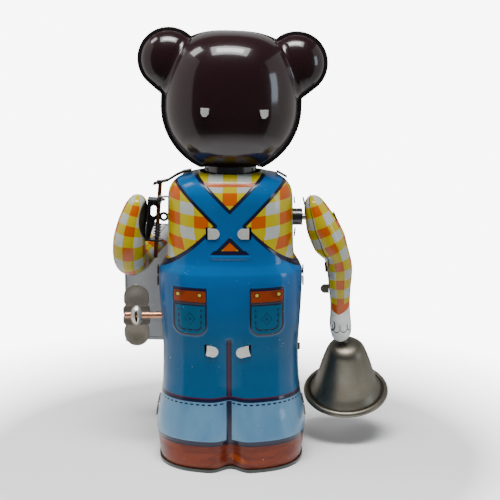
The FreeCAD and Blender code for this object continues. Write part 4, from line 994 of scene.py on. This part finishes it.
def bell_arm(material):
    """Two pressings that meet along a lapped seam on the inner side."""
    points, u, v, ca, a = arm_surface(BELL_ARM)
    z = points[:, :, 2].mean(axis=1)
    seam = np.interp(z, [71.5, 77.0, 83.0], [0.93, 0.64, 0.45])
    inner_side = ca[None, :] > seam[:, None]
    centre = points.mean(axis=1, keepdims=True)
    towards = (points - centre) / np.maximum(np.linalg.norm(points - centre, axis=2, keepdims=True), 1e-6)
    keep_in = (inner_side[:-1, :-1] & inner_side[:-1, 1:])
    edge = ((ca[None, :] - seam[:, None]) * a[:, None]).ravel()
    for name, keep, drop in (("bell_arm_inner", keep_in, 0.16), ("bell_arm_outer", ~keep_in, 0.0)):
        verts, faces, uv = sheet_band(points - towards * drop, u, v, keep)
        verts, faces, uv, line = used_only(verts, faces, uv, np.concatenate([edge, edge]))
        obj = add_mesh(name + "_tin", verts, faces, material, "bell_arm", name, uv, line)
        sharpen(obj, 50)


def paper_arm(material):
    """One closed pressing; its stored distance from the seam is large, so no seam is drawn."""
    points, u, v, _, _ = arm_surface(PAPER_ARM)
    keep = np.ones((points.shape[0] - 1, points.shape[1] - 1), bool)
    verts, faces, uv = sheet_band(points, u, v, keep)
    no_seam = np.full(len(verts), 9.0)
    obj = add_mesh("paper_arm_tin", verts, faces, material, "paper_arm", "paper_arm_shell",
                   uv, no_seam)
    sharpen(obj, 50)


# ---- bell, key and newspaper
def bell_place(points):
    """Points round the bell's own axis, moved to where it hangs."""
    a, b = radians(2.0), radians(-21.5)
    x, y, z = points[..., 0], points[..., 1], points[..., 2]
    x, z = x * cos(a) + z * sin(a), -x * sin(a) + z * cos(a)
    y, z = y * cos(b) - z * sin(b), y * sin(b) + z * cos(b)
    return np.stack([x, y, z], axis=-1) + np.array(BELL_AT)


def rounded(profile, passes=3):
    """Corner-cut profile, ends kept."""
    points = np.array(profile, float)
    for _ in range(passes):
        a, b = points[:-1], points[1:]
        cut = np.stack([a * 0.78 + b * 0.22, a * 0.22 + b * 0.78], axis=1).reshape(-1, 2)
        points = np.concatenate([points[:1], cut[1:-1], points[-1:]])
    return points


def bell_cup(material):
    """Spun cup with a rolled lip, from its section as radius and height."""
    outside = [(1.0, 0.0), (3.5, -0.25), (5.3, -0.9), (6.7, -2.1), (7.6, -3.9), (9.5, -9.8), (11.2, -16.3),
               (12.2, -19.1), (13.2, -20.8), (13.9, -22.1), (14.15, -22.9), (14.4, -22.9), (14.6, -22.3),
               (15.1, -21.95), (15.8, -22.1), (16.4, -22.7), (16.55, -23.3)]
    inside = [(16.2, -23.9), (15.6, -23.5), (14.9, -23.6), (14.0, -22.7), (13.1, -21.5), (11.6, -19.2),
              (10.6, -16.4), (8.9, -9.8), (7.0, -4.0), (6.1, -2.6), (4.9, -1.5), (3.3, -0.9), (1.0, -0.65)]
    profile = rounded(outside + inside + [outside[0]])
    run = lengths(profile)
    cols = 160
    t = np.linspace(0, 2 * pi, cols + 1)
    r, z = profile[:, 0:1], profile[:, 1:2]
    points = bell_place(np.stack([r * np.cos(t), r * np.sin(t), z + 0 * t], axis=2))
    shape = points.shape[:2]
    uv = np.stack([np.broadcast_to(t * 16, shape), np.broadcast_to(run[:, None], shape)], axis=2)
    faces = grid_faces(len(profile), cols + 1)
    add_mesh("bell_cup_spun", points, faces, material, "bell_arm", "bell_cup", uv)


def key(material):
    """Stamped butterfly: two round wings waisted into shoulders, and a rolled boss with a slit."""
    cx, cy, cz = KEY_AT
    wing_z, wing_r = 7.1, 4.65
    # Outline of one quarter as half width against height from the middle.
    round_h = wing_z + wing_r * np.sin(np.linspace(0.04, pi / 2, 34))
    h = np.concatenate([np.linspace(0, wing_z, 48), round_h])
    half = np.where(h <= wing_z, wing_r, root(wing_r ** 2 - (h - wing_z) ** 2))
    half = half + 0.35 * np.exp(-((h - 1.9) / 1.6) ** 4) - 0.5 * hump(h - 3.9, 0.7)
    zs = np.concatenate([-h[::-1], h[1:]])
    ws = np.concatenate([half[::-1], half[1:]])
    cols = 91
    s = np.linspace(-1, 1, cols)
    x = ws[:, None] * s[None, :]
    z = np.broadcast_to(zs[:, None], x.shape)
    edge = np.minimum(np.maximum(ws[:, None] - np.abs(x), 0), wing_z + wing_r - np.abs(z))
    soft = np.sqrt(np.clip(1 - (1 - np.minimum(edge / 0.3, 1)) ** 2, 0, 1))
    boss = root(1 - (x / BOSS_W) ** 2 - (z / BOSS_H) ** 2) * 2.5
    round_wing = 0.16 * np.cos(np.clip(np.hypot(x, np.abs(z) - wing_z) / wing_r, 0, 1) * pi)
    verts, faces = [], []
    for sign in (1, -1):
        y = sign * np.maximum(0.1 + 0.25 * soft, boss) - round_wing
        verts.append(np.stack([cx + x, cy + y, cz + z], axis=2).reshape(-1, 3))
        cut = np.zeros((len(zs) - 1, cols - 1), bool)
        if sign == 1:
            # A slit runs through the boss on the side that faces back.
            cut = np.abs(quad_mids(x)) < 0.5 * root(1 - (quad_mids(z) / BOSS_W) ** 2)
        size = len(zs) * cols
        new = grid_faces(len(zs), cols, skip=cut, flip=sign == 1)
        faces += [tuple(i + (0 if sign == 1 else size) for i in f) for f in new]
    # Walls join the two sides round the outline.
    n = len(zs)
    left = [r * cols for r in range(n)]
    top = [(n - 1) * cols + c for c in range(1, cols)]
    right = [r * cols + cols - 1 for r in range(n - 2, -1, -1)]
    loop = left + top + right + list(range(cols - 2, 0, -1))
    faces += [(a, b, b + size, a + size) for a, b in zip(loop, loop[1:] + loop[:1])]
    obj = add_mesh("key_butterfly", np.concatenate(verts), faces, material, "key", "key_wings")
    sharpen(obj, 55)


def newspaper(material):
    """Sheet of 0.5 mm tin bent at the middle fold, with two bowed leaves."""
    mid, fold, thick = 22.8, -28.3, 0.5
    # Circle through the fold, the bulge and the outer edge of a leaf.
    a, b, c = (0.0, 0.0), (PAPER_HALF * 0.55, -2.2), (PAPER_HALF, 0.4)
    d = 2 * (a[0] * (b[1] - c[1]) + b[0] * (c[1] - a[1]) + c[0] * (a[1] - b[1]))
    ux = ((b[0] ** 2 + b[1] ** 2) * (c[1] - a[1]) + (c[0] ** 2 + c[1] ** 2) * (a[1] - b[1])) / d
    uy = ((b[0] ** 2 + b[1] ** 2) * (a[0] - c[0]) + (c[0] ** 2 + c[1] ** 2) * (b[0] - a[0])) / d
    bow = hypot(ux, uy)
    s = np.linspace(-PAPER_HALF, PAPER_HALF, 161)
    y = uy - np.sqrt(bow ** 2 - (np.abs(s) - ux) ** 2)
    x, z = np.meshgrid(mid + s, np.linspace(PAPER_Z0, PAPER_Z1, 60))
    back = np.stack([x, fold + y[None, :] + 0 * x, z], axis=2)
    front = back - np.array([0, thick, 0])
    rows, cols = x.shape
    size = rows * cols
    faces = two_sided(grid_faces(rows, cols, flip=True), size)
    verts = np.concatenate([back.reshape(-1, 3), front.reshape(-1, 3)])
    uv = np.stack([x - mid, z - PAPER_Z0], axis=2).reshape(-1, 2)
    side = np.concatenate([np.ones(size), np.zeros(size)])
    obj = add_mesh("newspaper_sheet", verts, faces, material, "paper_arm", "newspaper",
                   np.concatenate([uv, uv]), side)
    sharpen(obj, 45)


# ---- build
litho = body_material()
enamel_head = head_material()
black = enamel("black_enamel", srgb(22, 22, 24), 0.32)
body_half(True, litho)
body_half(False, litho)
head_half(False, enamel_head)
head_half(True, enamel_head)
seam_black = enamel("seam_enamel", srgb(18, 11, 12), 0.26, 1.0, 0.78)
seam_ring(False, seam_black)
seam_ring(True, seam_black)
bell_arm(arm_material("litho_bell_arm", 1.0, (), 42.0))
paper_arm(arm_material("litho_paper_arm", 0.0, (-14.0,), 46.0, True))
bell_cup(bell_material())
key(key_material())
newspaper(paper_material())

# Colour, colour where tarnished, roughness, and how the grain is drawn out.
steel = metal("drawn_steel", srgb(168, 166, 160), srgb(104, 98, 88), 0.32, (1, 1, 0.2))
copper = metal("copper_flash", srgb(205, 150, 118), srgb(120, 84, 66), 0.34, (0.15, 1, 1), 0.5)
worn_copper = metal("worn_copper", srgb(150, 96, 70), srgb(40, 32, 30), 0.36, (1, 1, 0.15), 1.0)
FINISH = {
    "base_tin": enamel("base_enamel", srgb(20, 34, 28), 0.34, 0.5, 0.72),
    "black_tin": black,
    "bright_tin": metal("bright_tinplate", srgb(236, 236, 230), srgb(180, 178, 168), 0.42, (0.3, 1, 1),
                        0.3, 0.55),
    "steel": steel,
    "spring_steel": metal("blued_spring", srgb(70, 74, 88), srgb(34, 32, 38), 0.36),
    "coppered_steel": copper,
    "gear_brass": metal("gear_brass", srgb(204, 170, 96), srgb(132, 96, 48), 0.34),
    "litho_tin": litho,
    "head_tin": enamel_head,
    "key_steel": copper,
    "bell_steel": steel,
    "paper_tin": steel,
}
for part in frame["record"]["subparts"]:
    node = frame["nodes"][part["node"]]
    node.data.materials.clear()
    node.data.materials.append(FINISH[part["material_slot"]])
frame["nodes"]["shoulder_bracket"].data.materials[0] = black
frame["nodes"]["hinge_rod"].data.materials[0] = worn_copper
frame["nodes"]["bell_arm_tabs"].data.materials[0] = tab_material()
frame["nodes"]["neck_tube"].data.materials[0] = enamel("neck_enamel", srgb(44, 46, 50), 0.22, 1.0, 0.76)

# ---- studio
scene = bpy.context.scene
floor_mat, floor_shader = new_material("sweep_paper")
floor_paint = Paint(srgb(250, 250, 250))
floor_paint(noise(0.02, 3.0) * 0.08, srgb(236, 236, 238))
link(floor_paint.colour, floor_shader.inputs["Base Color"])
fixed(floor_shader, Roughness=0.85)
fx, fy, _ = coords()
# The floor fades out between 90 and 180 mm from the middle.
link(ramp(radius(fx, fy), -1 / 90.0, 2.0), floor_shader.inputs["Alpha"])
bpy.ops.mesh.primitive_circle_add(vertices=96, radius=0.36, fill_type="NGON", location=(0, 0, 0))
floor = bpy.context.object
floor.name = "studio_floor"
floor.data.materials.append(floor_mat)

# The camera sees a white room; the toy sees a dim one with softboxes in it.
world = bpy.data.worlds.new("studio")
world.use_nodes = True
tree = world.node_tree
dim = tree.nodes["Background"]
dim.inputs[0].default_value = (1.0, 1.0, 1.0, 1.0)
dim.inputs[1].default_value = 0.07
white = tree.nodes.new("ShaderNodeBackground")
white.inputs[1].default_value = 10.0
seen = tree.nodes.new("ShaderNodeLightPath")
mix = tree.nodes.new("ShaderNodeMixShader")
tree.links.new(seen.outputs["Is Camera Ray"], mix.inputs[0])
tree.links.new(dim.outputs[0], mix.inputs[1])
tree.links.new(white.outputs[0], mix.inputs[2])
tree.links.new(mix.outputs[0], tree.nodes["World Output"].inputs[0])
scene.world = world


def softbox(name, at, to, size, power, colour=(1, 1, 1)):
    """An area light at one point, facing another, in metres and watts."""
    light = bpy.data.lights.new(name, "AREA")
    light.shape = "RECTANGLE"
    light.size, light.size_y = size
    light.energy = power
    light.color = colour
    obj = bpy.data.objects.new(name, light)
    obj.location = at
    obj.rotation_euler = (Vector(to) - Vector(at)).to_track_quat("-Z", "Y").to_euler()
    scene.collection.objects.link(obj)


softbox("top_box", (0.02, 0.24, 0.8), (0, 0, 0.08), (0.62, 0.32), 6.4)
softbox("top_core", (0.02, 0.24, 0.79), (0, 0, 0.08), (0.42, 0.15), 3.8)
softbox("upper_left", (0.46, -0.02, 0.64), (0, 0, 0.1), (0.19, 0.19), 1.2)
softbox("left_wall", (0.95, -0.35, -0.02), (0, -0.35, -0.02), (1.75, 1.9), 7.2, (1.0, 0.95, 0.92))
softbox("right_wall", (-0.95, -0.4, -0.02), (0, -0.4, -0.02), (1.75, 1.8), 5.6, (1.0, 0.96, 0.94))
softbox("right_window", (-0.8, 0.3, 0.22), (0, 0, 0.12), (0.2, 0.34), 1.0, (0.7, 0.86, 1.0))
softbox("far_box", (0.0, -1.2, 0.7), (0, 0, 0.08), (1.6, 1.0), 2.0)

camera = bpy.data.objects.new("camera", bpy.data.cameras.new("camera"))
camera.location = (-0.0072, 0.48907, 0.18236)
aim = Vector((-0.0072, 0.0, 0.0784))
camera.rotation_euler = (aim - camera.location).to_track_quat("-Z", "Y").to_euler()
camera.data.lens = 97.3
camera.data.sensor_width = 36.0
camera.data.clip_start = 0.01
scene.collection.objects.link(camera)
scene.camera = camera
